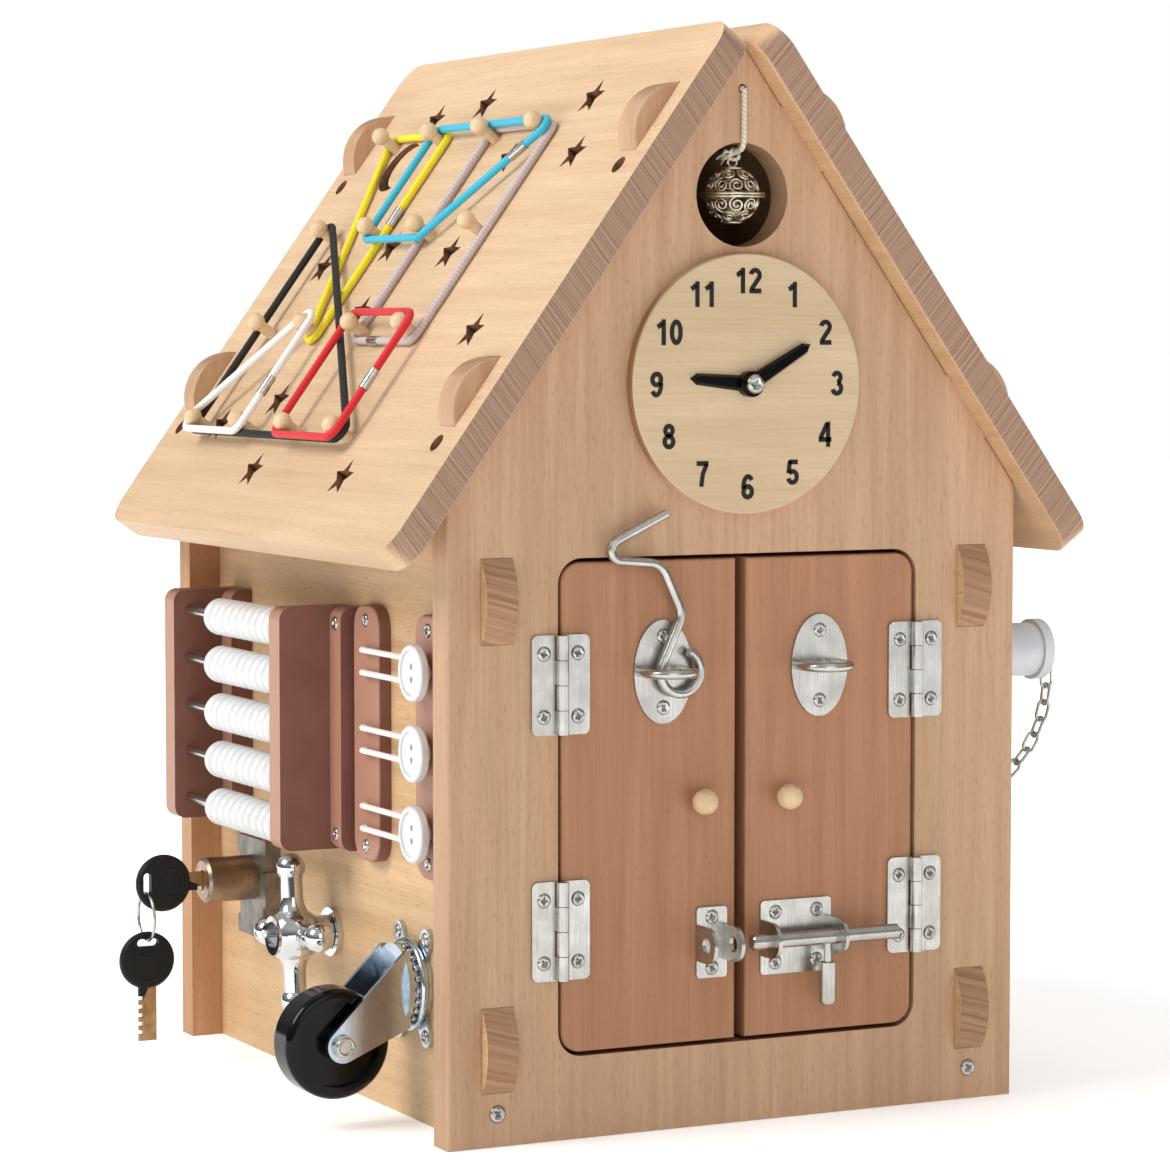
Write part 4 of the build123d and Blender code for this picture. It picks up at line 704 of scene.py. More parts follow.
def lathe(name: str, profile: list[Pair], steps: int) -> bpy.types.Object:
    """Turn a profile about Z into a closed mesh.

    Args:
        name: Name of the object.
        profile: Radius and height of each point, in metres; the first and last close the shape.
        steps: Faces round the turn.

    Returns:
        The new object.
    """
    work = bmesh.new()
    rings = []
    for radius, height in profile:
        around = compass(steps) if radius >= ON_AXIS else [(0.0, 0.0)]
        rings.append([work.verts.new((radius * c, radius * s, height)) for c, s in around])
    for low, high in zip(rings, rings[1:]):
        for i in range(steps):
            corners = [low[i % len(low)], low[(i + 1) % len(low)]]
            corners += [high[(i + 1) % len(high)], high[i % len(high)]]
            unique = list(dict.fromkeys(corners))
            if len(unique) > 2:
                work.faces.new(unique)
    return close_mesh(name, work)


def ball_profile(radius: float, steps: int) -> list[Pair]:
    """Profile of a ball for the lathe, from its lowest point in a number of steps."""
    turns = [math.pi * i / steps for i in range(steps + 1)]
    return [(radius * math.sin(t), -radius * math.cos(t)) for t in turns]


def new_tree(
    name: str, sockets: dict[str, str]
) -> tuple[bpy.types.NodeTree, bpy.types.NodeOutputs]:
    """Start a Geometry Nodes tree that takes and gives geometry.

    Args:
        name: Name of the tree.
        sockets: Kinds of its further inputs, such as Float, by name.

    Returns:
        The tree and the sockets of what it is given.
    """
    tree = bpy.data.node_groups.new(name, "GeometryNodeTree")
    for label, kind in {"Geometry": "Geometry", **sockets}.items():
        tree.interface.new_socket(name=label, in_out="INPUT", socket_type="NodeSocket" + kind)
    tree.interface.new_socket(name="Geometry", in_out="OUTPUT", socket_type="NodeSocketGeometry")
    return tree, add_node(tree, "NodeGroupInput").outputs


def close_tree(add: Adder, shape: bpy.types.Node, material: bpy.types.NodeSocket) -> None:
    """End a tree by smoothing its shape, making instances real and setting their material.

    Args:
        add: Adds a node to the tree.
        shape: Node with its geometry.
        material: Socket with its material.
    """
    smooth = add("GeometryNodeSetShadeSmooth", [shape])
    real = add("GeometryNodeRealizeInstances", [smooth])
    add("NodeGroupOutput", [add("GeometryNodeSetMaterial", {0: real, "Material": material})])


def tube_tree() -> bpy.types.NodeTree:
    """Build the tree that sweeps a round section along a curve and keeps its winding as attributes.

    Returns:
        The tree, with inputs Radius, Sides and Material.
    """
    sockets = {"Radius": "Float", "Sides": "Int", "Material": "Material"}
    tree, given = new_tree("round_tube", sockets)
    add = partial(add_node, tree)
    length = add("GeometryNodeSplineParameter").outputs["Length"]
    run = {0: given["Geometry"], "Name": "along", "Value": length}
    route = add("GeometryNodeStoreNamedAttribute", run, data_type="FLOAT", domain="POINT")
    size = {"Resolution": given["Sides"], "Radius": given["Radius"]}
    section = add("GeometryNodeCurvePrimitiveCircle", size)
    turn = {0: section, "Name": "round", "Value": add("GeometryNodeInputPosition")}
    wound = add("GeometryNodeStoreNamedAttribute", turn, data_type="FLOAT_VECTOR", domain="POINT")
    lines = {"Curve": route, "Profile Curve": wound, "Fill Caps": True}
    close_tree(add, add("GeometryNodeCurveToMesh", lines), given["Material"])
    return tree


@dataclass(frozen=True)
class Spot:
    """Place of one repeated shape in millimetres, with its axis, scale and turn about that axis."""

    place: Point
    axis: Point
    size: float
    turn: float = 0.0


# Name, type and value field of each attribute that a spot's point carries.
SPOT_LAYERS = (
    ("axis", "FLOAT_VECTOR", "vector"),
    ("size", "FLOAT", "value"),
    ("turn", "FLOAT", "value"),
)


def scatter_tree() -> bpy.types.NodeTree:
    """Build the tree that sets one shape on each point, turned to its axis and scaled by its size.

    Returns:
        The tree, with inputs Shape and Material.
    """
    tree, given = new_tree("set_on_points", {"Shape": "Object", "Material": "Material"})
    add = partial(add_node, tree)
    shape = add("GeometryNodeObjectInfo", {"Object": given["Shape"]}).outputs["Geometry"]
    axis, size, turn = (
        add("GeometryNodeInputNamedAttribute", {"Name": label}, data_type=kind)
        for label, kind, _ in SPOT_LAYERS
    )
    aimed = add("FunctionNodeAlignRotationToVector", {"Vector": axis}, axis="Z")
    spin = add("FunctionNodeAxisAngleToRotation", {"Axis": ALONG_Z, "Angle": turn})
    turned = add("FunctionNodeRotateRotation", [aimed, spin], rotation_space="LOCAL")
    copies = {"Points": given["Geometry"], "Instance": shape, "Rotation": turned, "Scale": size}
    close_tree(add, add("GeometryNodeInstanceOnPoints", copies), given["Material"])
    return tree


class Workshop:
    """Dresses the frame's nodes and makes plain meshes with Geometry Nodes trees."""

    def __init__(self, frame: dict) -> None:
        """Take the loaded frame and build the shared trees.

        Args:
            frame: The loaded frame.
        """
        self.frame = frame
        self.made: dict[str, bpy.types.Material] = {}
        self.tube = tube_tree()
        self.scatter = scatter_tree()

    def material(self, finish: Finish) -> bpy.types.Material:
        """Give a finish's material, made on first use.

        Args:
            finish: The finish.

        Returns:
            Its material.
        """
        if finish.name not in self.made:
            self.made[finish.name] = finish.build()
        return self.made[finish.name]

    def mesh(self, node: str) -> bpy.types.Mesh:
        """Mesh of a CAD node."""
        return self.frame["nodes"][node].data

    def dress(self, finish: Finish, *nodes: str) -> None:
        """Give CAD nodes a finish.

        Args:
            finish: Finish of all their faces.
            nodes: Names of the nodes.
        """
        for node in nodes:
            self.mesh(node).materials.clear()
            self.mesh(node).materials.append(self.material(finish))

    def split(self, node: str, finish: Finish, other: Finish, test: FaceTest) -> None:
        """Give a CAD node a finish, and some of its faces another.

        Args:
            node: Name of the node.
            finish: Finish of the node.
            other: Finish of the faces that pass the test.
            test: Says whether a face gets the other finish.
        """
        self.dress(finish, node)
        self.mesh(node).materials.append(self.material(other))
        for face in self.mesh(node).polygons:
            face.material_index = int(test(face))

    def plain(
        self, source: bpy.types.Object, name: str, tree: bpy.types.NodeTree, values: dict
    ) -> bpy.types.Object:
        """Run a tree on an object and keep the result as a plain mesh.

        Args:
            source: Object that the tree works on; it is removed.
            name: Name of the new piece.
            tree: Geometry Nodes tree.
            values: Values of the tree's inputs, by name.

        Returns:
            The new piece, at the origin.
        """
        modifier = source.modifiers.new("nodes", "NODES")
        modifier.node_group = tree
        for socket in tree.interface.items_tree:
            if socket.in_out == "INPUT" and socket.name in values:
                modifier[socket.identifier] = values[socket.name]
        ready = source.evaluated_get(bpy.context.evaluated_depsgraph_get())
        mesh = bpy.data.meshes.new_from_object(ready)
        source.modifiers.remove(modifier)
        bpy.data.objects.remove(source)
        mesh.name = name
        return link_object(name, mesh)

    def sweep(
        self,
        name: str,
        routes: list[Route],
        radius_mm: float,
        finish: Finish,
        closed: bool = False,
        sides: int = 12,
    ) -> bpy.types.Object:
        """Sweep round tubes along routes given in millimetres.

        Args:
            name: Name of the piece.
            routes: Points of each route.
            radius_mm: Radius of the tubes.
            finish: Finish of the tubes.
            closed: Whether each route comes back to its start.
            sides: Sides of the round section.

        Returns:
            The new piece.
        """
        curve = bpy.data.curves.new(name + "_route", "CURVE")
        curve.dimensions = "3D"
        for route in routes:
            spline = curve.splines.new("POLY")
            spline.points.add(len(route) - 1)
            for point, place in zip(spline.points, route):
                point.co = (*(Vector(place) * MM), 1.0)
            spline.use_cyclic_u = closed
        source = link_object(name + "_route", curve)
        values = {"Radius": radius_mm * MM, "Sides": sides, "Material": self.material(finish)}
        return self.plain(source, name, self.tube, values)

    def set_out(
        self, name: str, shape: bpy.types.Object, spots: list[Spot], finish: Finish
    ) -> bpy.types.Object:
        """Set a shape on each of a list of spots.

        Args:
            name: Name of the piece.
            shape: Object that is repeated.
            spots: Places with axes, sizes and turns.
            finish: Finish of the copies.

        Returns:
            The new piece.
        """
        mesh = bpy.data.meshes.new(name + "_points")
        mesh.from_pydata([Vector(spot.place) * MM for spot in spots], [], [])
        for label, kind, key in SPOT_LAYERS:
            layer = mesh.attributes.new(label, kind, "POINT")
            for item, spot in zip(layer.data, spots):
                setattr(item, key, getattr(spot, label))
        source = link_object(name + "_points", mesh)
        values = {"Shape": shape, "Material": self.material(finish)}
        return self.plain(source, name, self.scatter, values)


@dataclass(frozen=True)
class RoofLine:
    """Slope of the roof's underside, in the house's frame."""

    half_width_mm: float = 125.0
    eave_mm: float = 247.0
    pitch_deg: float = 54.0

    def turn(self) -> float:
        """Pitch in radians."""
        return math.radians(self.pitch_deg)

    def peak_mm(self) -> float:
        """Height of the ridge."""
        return self.eave_mm + self.half_width_mm * math.tan(self.turn())

    def off(self, side: int) -> Vector:
        """Way off the roof's face, with side minus one on the left and one on the right."""
        return Vector((side * math.sin(self.turn()), 0.0, math.cos(self.turn())))

    def down(self, side: int) -> Vector:
        """Way down the slope, with side minus one on the left and one on the right."""
        return Vector((side * math.cos(self.turn()), 0.0, -math.sin(self.turn())))


@dataclass
class Carcass:
    """Four walls, the floor and the two roof boards."""

    roof: RoofLine = RoofLine()
    level: tuple[str, ...] = ("left_wall", "right_wall", "floor_panel")
    cut_margin_mm: float = 8.0
    # A face whose normal leans off the board by less than this share is the wall of a cut.
    cut_lean: float = 0.3

    def roof_board(self, shop: Workshop, node: str, wood: WoodFinish, side: int) -> None:
        """Dress a roof board, with the walls of its cut-outs scorched.

        Args:
            shop: Dresses the board.
            node: Name of the board.
            wood: Its wood.
            side: Minus one on the left and one on the right.
        """
        off, down = self.roof.off(side), self.roof.down(side)
        corners = [vertex.co for vertex in shop.mesh(node).vertices]
        runs = [corner.dot(down) for corner in corners]
        depths = [corner.y for corner in corners]
        margin = self.cut_margin_mm * MM
        first_run, last_run = min(runs) + margin, max(runs) - margin
        first_depth, last_depth = min(depths) + margin, max(depths) - margin

        def in_cut(face: bpy.types.MeshPolygon) -> bool:
            """Whether a face is the wall of a cut-out, away from the board's edges."""
            inside = first_run < face.center.dot(down) < last_run
            inside = inside and first_depth < face.center.y < last_depth
            return inside and abs(face.normal.dot(off)) < self.cut_lean

        shop.split(node, wood, SCORCHED, in_cut)

    def is_tab(self, face: bpy.types.MeshPolygon) -> bool:
        """Whether a face of the back board stands through the roof."""
        off = self.roof.off(1 if face.center.x > 0 else -1)
        return (face.center - Vector((0.0, 0.0, self.roof.peak_mm() * MM))).dot(off) > 0

    def build(self, shop: Workshop) -> None:
        """Dress the boards; the back one is redder, with pale tabs.

        Args:
            shop: Dresses the boards.
        """
        shop.dress(PALE_BEECH, "front_wall")
        shop.split("back_wall", BACK_BEECH, PALE_BEECH, self.is_tab)
        shop.dress(SIDE_BEECH, *self.level)
        self.roof_board(shop, "left_roof", LEFT_ROOF_BEECH, -1)
        self.roof_board(shop, "right_roof", RIGHT_ROOF_BEECH, 1)
        LOG.info("carcass")


@dataclass
class Geoboard:
    """Pegs on the left roof with their elastic bands."""

    roof: RoofLine = RoofLine()
    board_mm: float = 12.5
    slope_mm: float = 247.0
    # Rows and columns are counted from one, and this lies in the middle of four.
    middle_count: float = 2.5
    row_pitch_mm: float = 49.6
    column_pitch_mm: float = 50.4
    shift_mm: float = 23.0
    stem_mm: float = 4.8
    ball_mm: float = 7.6
    ball_height_mm: float = 9.5
    wire_mm: float = 3.2
    first_level_mm: float = 2.05
    level_pitch_mm: float = 3.3
    grip_mm: float = 0.1
    arc_steps: int = 7
    seam_step: int = 3
    # Rows and columns of each band's pegs, and which of the three heights it lies at.
    bands: dict[str, tuple[list[tuple[int, int]], int]] = field(
        default_factory=lambda: {
            "band_yellow": ([(1, 1), (1, 2), (3, 2)], 1),
            "band_grey": ([(1, 3), (1, 4), (3, 4), (3, 3)], 1),
            "band_cyan": ([(1, 2), (1, 4), (2, 3), (2, 2)], 2),
            "band_black": ([(2, 1), (4, 1), (4, 4)], 2),
            "band_red": ([(3, 3), (3, 4), (4, 4), (4, 3)], 3),
            "band_white": ([(3, 2), (4, 2), (4, 1)], 3),
        }
    )

    def on_roof(self, down: float, front: float, lift: float) -> Vector:
        """Find a place on the left roof.

        Args:
            down: Way down from the ridge in millimetres.
            front: Way towards the front in millimetres.
            lift: Way off the board's top in millimetres.

        Returns:
            The place in millimetres.
        """
        apex = Vector((0.0, -front, self.roof.peak_mm()))
        return apex + self.roof.down(-1) * down + self.roof.off(-1) * (self.board_mm + lift)

    def peg(self, row: int, column: int) -> Vector:
        """Find a peg.

        Args:
            row: Its row, counted down the roof.
            column: Its column, counted towards the front.

        Returns:
            Its way down from the ridge and towards the front, in millimetres.
        """
        down = self.slope_mm / 2 + (row - self.middle_count) * self.row_pitch_mm
        front = (column - self.middle_count) * self.column_pitch_mm - self.shift_mm
        return Vector((down, front))

    def route(self, pegs: list[tuple[int, int]], level: int) -> list[Vector]:
        """Lay a band round its pegs.

        Args:
            pegs: Rows and columns of the pegs.
            level: Which of the three heights it lies at.

        Returns:
            Points of the closed route in millimetres, from the middle of a bend.
        """
        lift = self.first_level_mm + (level - 1) * self.level_pitch_mm
        reach = (self.ball_mm + self.wire_mm) / 2 + self.grip_mm
        room = max(reach**2 - (self.ball_height_mm - lift) ** 2, 0)
        radius = max((self.stem_mm + self.wire_mm) / 2 + self.grip_mm, math.sqrt(room))
        spots = [self.peg(*spot) for spot in pegs]
        middle = sum(spots, Vector((0, 0))) / len(spots)
        spots.sort(key=lambda spot: math.atan2(spot.y - middle.y, spot.x - middle.x))
        points = []
        for index, spot in enumerate(spots):
            to_here = spot - spots[index - 1]
            onward = spots[(index + 1) % len(spots)] - spot
            start = math.atan2(to_here.y, to_here.x) - math.pi / 2
            sweep = (math.atan2(onward.y, onward.x) - math.pi / 2 - start) % (2 * math.pi)
            for step in range(self.arc_steps + 1):
                turn = start + sweep * step / self.arc_steps
                down = spot.x + radius * math.cos(turn)
                front = spot.y + radius * math.sin(turn)
                points.append(self.on_roof(down, front, lift))
        return points[self.seam_step :] + points[: self.seam_step]

    def build(self, shop: Workshop) -> None:
        """Dress the pegs and make the bands.

        Args:
            shop: Makes the bands.
        """
        shop.dress(TURNED_BEECH, "geoboard_pegs")
        shop.dress(BRIGHT_STEEL, "band_crimps")
        for node, (pegs, level) in self.bands.items():
            name, route = node.replace("band_", "elastic_"), self.route(pegs, level)
            band = shop.sweep(name, [route], self.wire_mm / 2, ELASTICS[node], closed=True)
            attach(band, "house")
            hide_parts(node)
            LOG.info("band %s", node)


def bend(middle: Pair, reach: Pair, start: float, end: float, steps: int = 18) -> list[Pair]:
    """Points along part of an ellipse.

    Args:
        middle: Its middle.
        reach: Its half width and half height.
        start: Angle of the first point in degrees.
        end: Angle of the last point in degrees.
        steps: Number of steps between them.

    Returns:
        The points.
    """
    turns = [math.radians(start + (end - start) * i / steps) for i in range(steps + 1)]
    return [(middle[0] + reach[0] * math.cos(t), middle[1] + reach[1] * math.sin(t)) for t in turns]


DIGIT_WIDTH_SHARE = 0.58
# Middles of each digit's strokes, in shares of the digit's height.
DIGIT_SHARES: dict[str, list[list[Pair]]] = {
    "0": [bend((0.29, 0.5), (0.19, 0.405), 90, 450)],
    "1": [[(0.1, 0.7), (0.22, 0.77), (0.3, 0.87)], [(0.37, 1.0), (0.37, 0.0)]],
    "2": [
        bend((0.29, 0.71), (0.195, 0.195), 170, -38) + [(0.12, 0.16)],
        [(0.03, 0.095), (0.56, 0.095)],
    ],
    "3": [
        bend((0.28, 0.725), (0.165, 0.18), 165, -85),
        bend((0.28, 0.3), (0.195, 0.205), 85, -168),
    ],
    "4": [
        [(0.43, 1.0), (0.43, 0.0)],
        [(0.38, 0.93), (0.08, 0.34)],
        [(0.0, 0.295), (0.58, 0.295)],
    ],
    "5": [
        [(0.53, 0.905), (0.13, 0.905)],
        [(0.17, 0.95), (0.11, 0.46)],
        bend((0.29, 0.315), (0.195, 0.22), 140, -165),
    ],
    "6": [
        bend((0.29, 0.305), (0.19, 0.21), 90, 450),
        bend((0.31, 0.5), (0.21, 0.405), 40, 190),
    ],
    "7": [[(0.03, 0.905), (0.56, 0.905)], [(0.48, 0.88), (0.31, 0.5), (0.24, 0.0)]],
    "8": [
        bend((0.29, 0.73), (0.16, 0.175), 90, 450),
        bend((0.29, 0.295), (0.19, 0.2), 90, 450),
    ],
    "9": [
        bend((0.29, 0.695), (0.19, 0.21), 90, 450),
        bend((0.27, 0.5), (0.21, 0.405), 10, -140),
    ],
}


@dataclass
class ClockDial:
    """Plywood dial with its numbers, hands and pivot."""

    middle_mm: Pair = (0.0, 288.0)
    face_mm: float = -146.0
    hours: int = 12
    number_radius_mm: float = 39.6
    number_height_mm: float = 9.8
    ink_mm: float = 0.12
    stroke_share: float = 0.19
    pace_share: float = 0.63
    # A sharp corner's mitre is held back to this cosine.
    least_mitre: float = 0.6

    def ribbon(
        self, work: bmesh.types.BMesh, line: list[Pair], left_mm: float, low_mm: float
    ) -> None:
        """Draw one stroke of a number as a flat ribbon on the dial.

        Args:
            work: Mesh that gets the ribbon.
            line: Middle of the stroke, in shares of the number's height.
            left_mm: Left edge of the digit.
            low_mm: Foot of the digit.
        """
        points = [Vector(point) for point in line]
        closed = (points[0] - points[-1]).length < SAME_POINT
        if closed:
            points.pop()
        pairs = []
        for index, point in enumerate(points):
            before = point - points[index - 1] if closed or index else points[1] - point
            last = index == len(points) - 1
            after = points[(index + 1) % len(points)] - point if closed or not last else before
            way = (before.normalized() + after.normalized()).normalized()
            reach = self.stroke_share / 2 / max(way.dot(after.normalized()), self.least_mitre)
            side = Vector((-way.y, way.x)) * reach
            pair = []
            for spot in (point + side, point - side):
                across = left_mm + spot.x * self.number_height_mm
                up = low_mm + spot.y * self.number_height_mm
                corner = Vector((across, self.face_mm - self.ink_mm, up))
                pair.append(work.verts.new(corner * MM))
            pairs.append(pair)
        count = len(pairs) if closed else len(pairs) - 1
        for index in range(count):
            (a, b), (c, d) = pairs[index], pairs[(index + 1) % len(pairs)]
            work.faces.new((a, c, d, b))

    def number(self, hour: int) -> bpy.types.Object:
        """Draw one number of the dial as a mesh.

        Args:
            hour: Number from 1 to 12.

        Returns:
            The number's object, at the origin.
        """
        digits = str(hour)
        turn = math.radians(360 / self.hours * hour)
        height, pace = self.number_height_mm, self.pace_share * self.number_height_mm
        wide = (self.pace_share * (len(digits) - 1) + DIGIT_WIDTH_SHARE) * height
        left = self.middle_mm[0] + self.number_radius_mm * math.sin(turn) - wide / 2
        low = self.middle_mm[1] + self.number_radius_mm * math.cos(turn) - height / 2
        work = bmesh.new()
        for place, digit in enumerate(digits):
            for line in DIGIT_SHARES[digit]:
                self.ribbon(work, line, left + place * pace, low)
        fronts = bmesh.ops.extrude_face_region(work, geom=work.faces[:])
        moved = [item for item in fronts["geom"] if isinstance(item, bmesh.types.BMVert)]
        bmesh.ops.translate(work, vec=(0.0, self.ink_mm * MM, 0.0), verts=moved)
        return close_mesh(f"number_{hour}", work)

    def build(self, shop: Workshop) -> None:
        """Dress the dial and print its numbers.

        Args:
            shop: Dresses the dial.
        """
        shop.dress(BIRCH_PLY, "clock_face")
        shop.dress(BLACK_GLOSS, "hour_hand", "minute_hand")
        shop.dress(BRIGHT_STEEL, "clock_pin")
        for hour in range(1, self.hours + 1):
            piece = self.number(hour)
            piece.data.materials.append(shop.material(INK))
            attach(piece, "house")
        LOG.info("dial numbers")


@dataclass
class JingleBell:
    """Filigree bell on its knotted string."""

    middle_mm: Point = (0.0, -133.0, 360.5)
    radius_mm: float = 11.0
    wire_mm: float = 0.5
    wire_sides: int = 6
    # Height in degrees above the rim, number of scrolls and radius of each row of scrolls.
    scroll_rows: tuple[tuple[float, int, float], ...] = ((21.0, 10, 3.3), (51.0, 7, 3.05))
    scroll_turns: float = 1.7
    scroll_steps: int = 26
    # Share of its radius that a scroll loses from its outer wind to its end.
    scroll_taper: float = 0.8
    pole_deg: float = 71.0
    pole_bars_deg: Pair = (0.0, 90.0)
    pole_steps: int = 8
    rim_mm: float = 12.3
    rim_gap_mm: float = 0.55
    collar_mm: float = 0.3
    ring_steps: int = 36
    small_ring_steps: int = 20
    eye_mm: float = 1.9
    eye_wire_mm: float = 0.55
    eye_sides: int = 8
    rattle_mm: float = 4.2
    rattle_drop_mm: float = 6.0
    rattle_steps: int = 12
    string_mm: float = 2.2
    string_route_mm: tuple[Point, ...] = (
        (0.0, -142.4, 401.0),
        (0.0, -142.4, 392.0),
        (0.0, -142.4, 378.5),
        (0.0, -137.5, 377.4),
        (0.0, -133.0, 376.6),
    )
    string_length_mm: float = 32.5
    # The end of the string that shows in the gable's hole.
    anchor_mm: tuple[Point, Point] = ((0.0, -136.0, 401.0), (0.0, -141.2, 401.0))
    knot_mm: Point = (0.0, -133.4, 376.2)
    knot_wire_mm: float = 0.75
    knot_sides: int = 8
    wrap_mm: Point = (2.1, 0.9, 2.0)
    wrap_front_mm: float = -0.8
    wrap_steps: int = 16
    # A loop of the bow and its two cut ends, from the knot's middle.
    bow_mm: tuple[tuple[Point, ...], ...] = (
        ((-1.5, -0.6, 0.5), (-4.0, -1.4, 1.2), (-5.4, -1.5, -0.4), (-1.6, -0.9, -0.6)),
        ((1.2, -0.8, 0.4), (2.4, -1.4, 2.0), (1.6, -1.4, 2.6)),
        ((-0.8, -0.9, 0.2), (-2.6, -1.5, -0.6), (-4.4, -1.6, -1.6)),
    )
    fray_wire_mm: float = 0.14
    fray_sides: int = 5
    fray_count: int = 26
    # One fibre in this many stands up from the short end; the others fall from the long one.
    fray_upper_each: int = 3
    fray_seed: int = 7
    fray_spread: float = 0.45
    fray_bend_share: float = 0.55
    fray_fall_mm: Pair = (0.2, 0.9)
    upper_foot_mm: Point = (1.4, -1.2, 1.8)
    upper_way: Point = (0.5, -0.25, 0.8)
    upper_reach_mm: Pair = (2.0, 3.4)
    lower_foot_mm: Point = (-2.2, -1.3, -0.2)
    lower_way: Point = (-0.85, -0.15, -0.4)
    lower_reach_mm: Pair = (3.4, 5.8)

    def above(self, rise_mm: float) -> Vector:
        """Place at a height above the bell's middle."""
        return Vector(self.middle_mm) + Vector((0.0, 0.0, rise_mm))

    def on_ball(self, height_deg: float, round_deg: float) -> Vector:
        """Find a place on the ball.

        Args:
            height_deg: Height above the rim.
            round_deg: Turn round the bell.

        Returns:
            The place in millimetres.
        """
        height, turn = math.radians(height_deg), math.radians(round_deg)
        level = math.cos(height)
        way = Vector((level * math.cos(turn), level * math.sin(turn), math.sin(height)))
        return Vector(self.middle_mm) + way * (self.radius_mm - self.wire_mm)

    def scroll(
        self, height_deg: float, round_deg: float, reach_mm: float, hand: int
    ) -> list[Vector]:
        """Wind one scroll of wire on the ball.

        Args:
            height_deg: Height of its middle above the rim.
            round_deg: Turn of its middle round the bell.
            reach_mm: Radius of its outer wind.
            hand: One or minus one, the way that it winds.

        Returns:
            Points of its route in millimetres.
        """
        level = math.cos(math.radians(height_deg))
        route = []
        for step in range(self.scroll_steps + 1):
            share = step / self.scroll_steps
            turn = hand * (math.pi / 2 + 2 * math.pi * self.scroll_turns * share)
            reach = math.degrees(reach_mm * (1 - self.scroll_taper * share) / self.radius_mm)
            around = round_deg + reach * math.cos(turn) / level
            route.append(self.on_ball(height_deg + reach * math.sin(turn), around))
        return route

    def filigree(self) -> list[list[Vector]]:
        """Lay out the scrolls of both halves and the bars over the poles.

        Returns:
            Routes of the wires in millimetres.
        """
        step_deg = (180 - 2 * self.pole_deg) / self.pole_steps
        climb = [self.pole_deg + step_deg * i for i in range(self.pole_steps + 1)]
        routes = []
        for half in (1, -1):
            for row, (height, count, reach) in enumerate(self.scroll_rows):
                for number in range(count):
                    around = 360 * (number + 0.5 * row) / count
                    hand = half * (-1) ** number
                    routes.append(self.scroll(half * height, around, reach, hand))
            for around in self.pole_bars_deg:
                routes.append([self.on_ball(half * height, around) for height in climb])
        return routes

    def rims(self) -> list[list[Vector]]:
        """Lay out the rims of both halves, the rings round the poles and the eye.

        Returns:
            Closed routes of the wires in millimetres.
        """
        pole = math.radians(self.pole_deg)
        pole_rise, pole_reach = self.radius_mm * math.sin(pole), self.radius_mm * math.cos(pole)
        top = self.above(self.radius_mm + self.eye_mm)
        routes = [circle(top, self.eye_mm, self.small_ring_steps, Plane.FRONT)]
        for half in (1, -1):
            rim, cap = self.above(half * self.rim_gap_mm), self.above(half * pole_rise)
            for reach in (self.rim_mm, self.radius_mm + self.collar_mm):
                routes.append(circle(rim, reach, self.ring_steps, Plane.LEVEL))
            routes.append(circle(cap, pole_reach, self.small_ring_steps, Plane.LEVEL))
        return routes

    def build(self, shop: Workshop) -> None:
        """Make the bell, its string and its knot.

        Args:
            shop: Makes the wires.
        """
        rims = shop.sweep("bell_rims", self.rims(), self.eye_wire_mm, NICKEL, True, self.eye_sides)
        wires, sides = self.filigree(), self.wire_sides
        ball = shop.sweep("bell_filigree", wires, self.wire_mm, NICKEL, sides=sides)
        profile = ball_profile(self.rattle_mm * MM, self.rattle_steps)
        rattle = lathe("bell_rattle", profile, self.small_ring_steps)
        rattle.data.transform(Matrix.Translation(self.above(-self.rattle_drop_mm) * MM))
        rattle.data.materials.append(shop.material(NICKEL))
        for piece in (ball, rims, rattle):
            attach(piece, "bell")
        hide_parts("bell")
        self.hang(shop)
        LOG.info("bell")

    def string_line(self) -> list[Vector]:
        """Read the string's line from a smooth spline along its route.

        Returns:
            Points of the line in millimetres.
        """
        curve = bpy.data.curves.new("string_line", "CURVE")
        curve.dimensions = "3D"
        spline = curve.splines.new("NURBS")
        spline.points.add(len(self.string_route_mm) - 1)
        for point, place in zip(spline.points, self.string_route_mm):
            point.co = (*place, 1.0)
        spline.order_u = 3
        spline.use_endpoint_u = True
        source = link_object("string_line", curve)
        mesh = bpy.data.meshes.new_from_object(source)
        line = [vertex.co.copy() for vertex in mesh.vertices]
        bpy.data.objects.remove(source)
        bpy.data.meshes.remove(mesh)
        return line

    def fray(self) -> list[list[Vector]]:
        """Fan out the loose fibres of the string's cut ends.

        Returns:
            Routes of the fibres in millimetres.
        """
        draw = random.Random(self.fray_seed)
        routes = []
        for number in range(self.fray_count):
            up = number % self.fray_upper_each == 0
            foot = Vector(self.knot_mm) + Vector(self.upper_foot_mm if up else self.lower_foot_mm)
            stray = [draw.uniform(-self.fray_spread, self.fray_spread) for _ in range(3)]
            way = Vector(self.upper_way if up else self.lower_way) + Vector(stray)
            span = self.upper_reach_mm if up else self.lower_reach_mm
            reach = way.normalized() * draw.uniform(*span)
            fall = Vector((0.0, 0.0, -draw.uniform(*self.fray_fall_mm)))
            routes.append([foot, foot + reach * self.fray_bend_share, foot + reach + fall])
        return routes

    def knot(self) -> list[list[Vector]]:
        """Wind the knot and lay the loop and ends of its bow.

        Returns:
            Routes of the strings in millimetres.
        """
        wide, deep, high = self.wrap_mm
        wrap = []
        for step in range(self.wrap_steps + 1):
            turn = 2 * math.pi * step / self.wrap_steps
            front = self.wrap_front_mm + deep * math.sin(2 * turn)
            wrap.append((wide * math.cos(turn), front, high * math.sin(turn)))
        middle = Vector(self.knot_mm)
        return [[middle + Vector(place) for place in line] for line in (wrap, *self.bow_mm)]

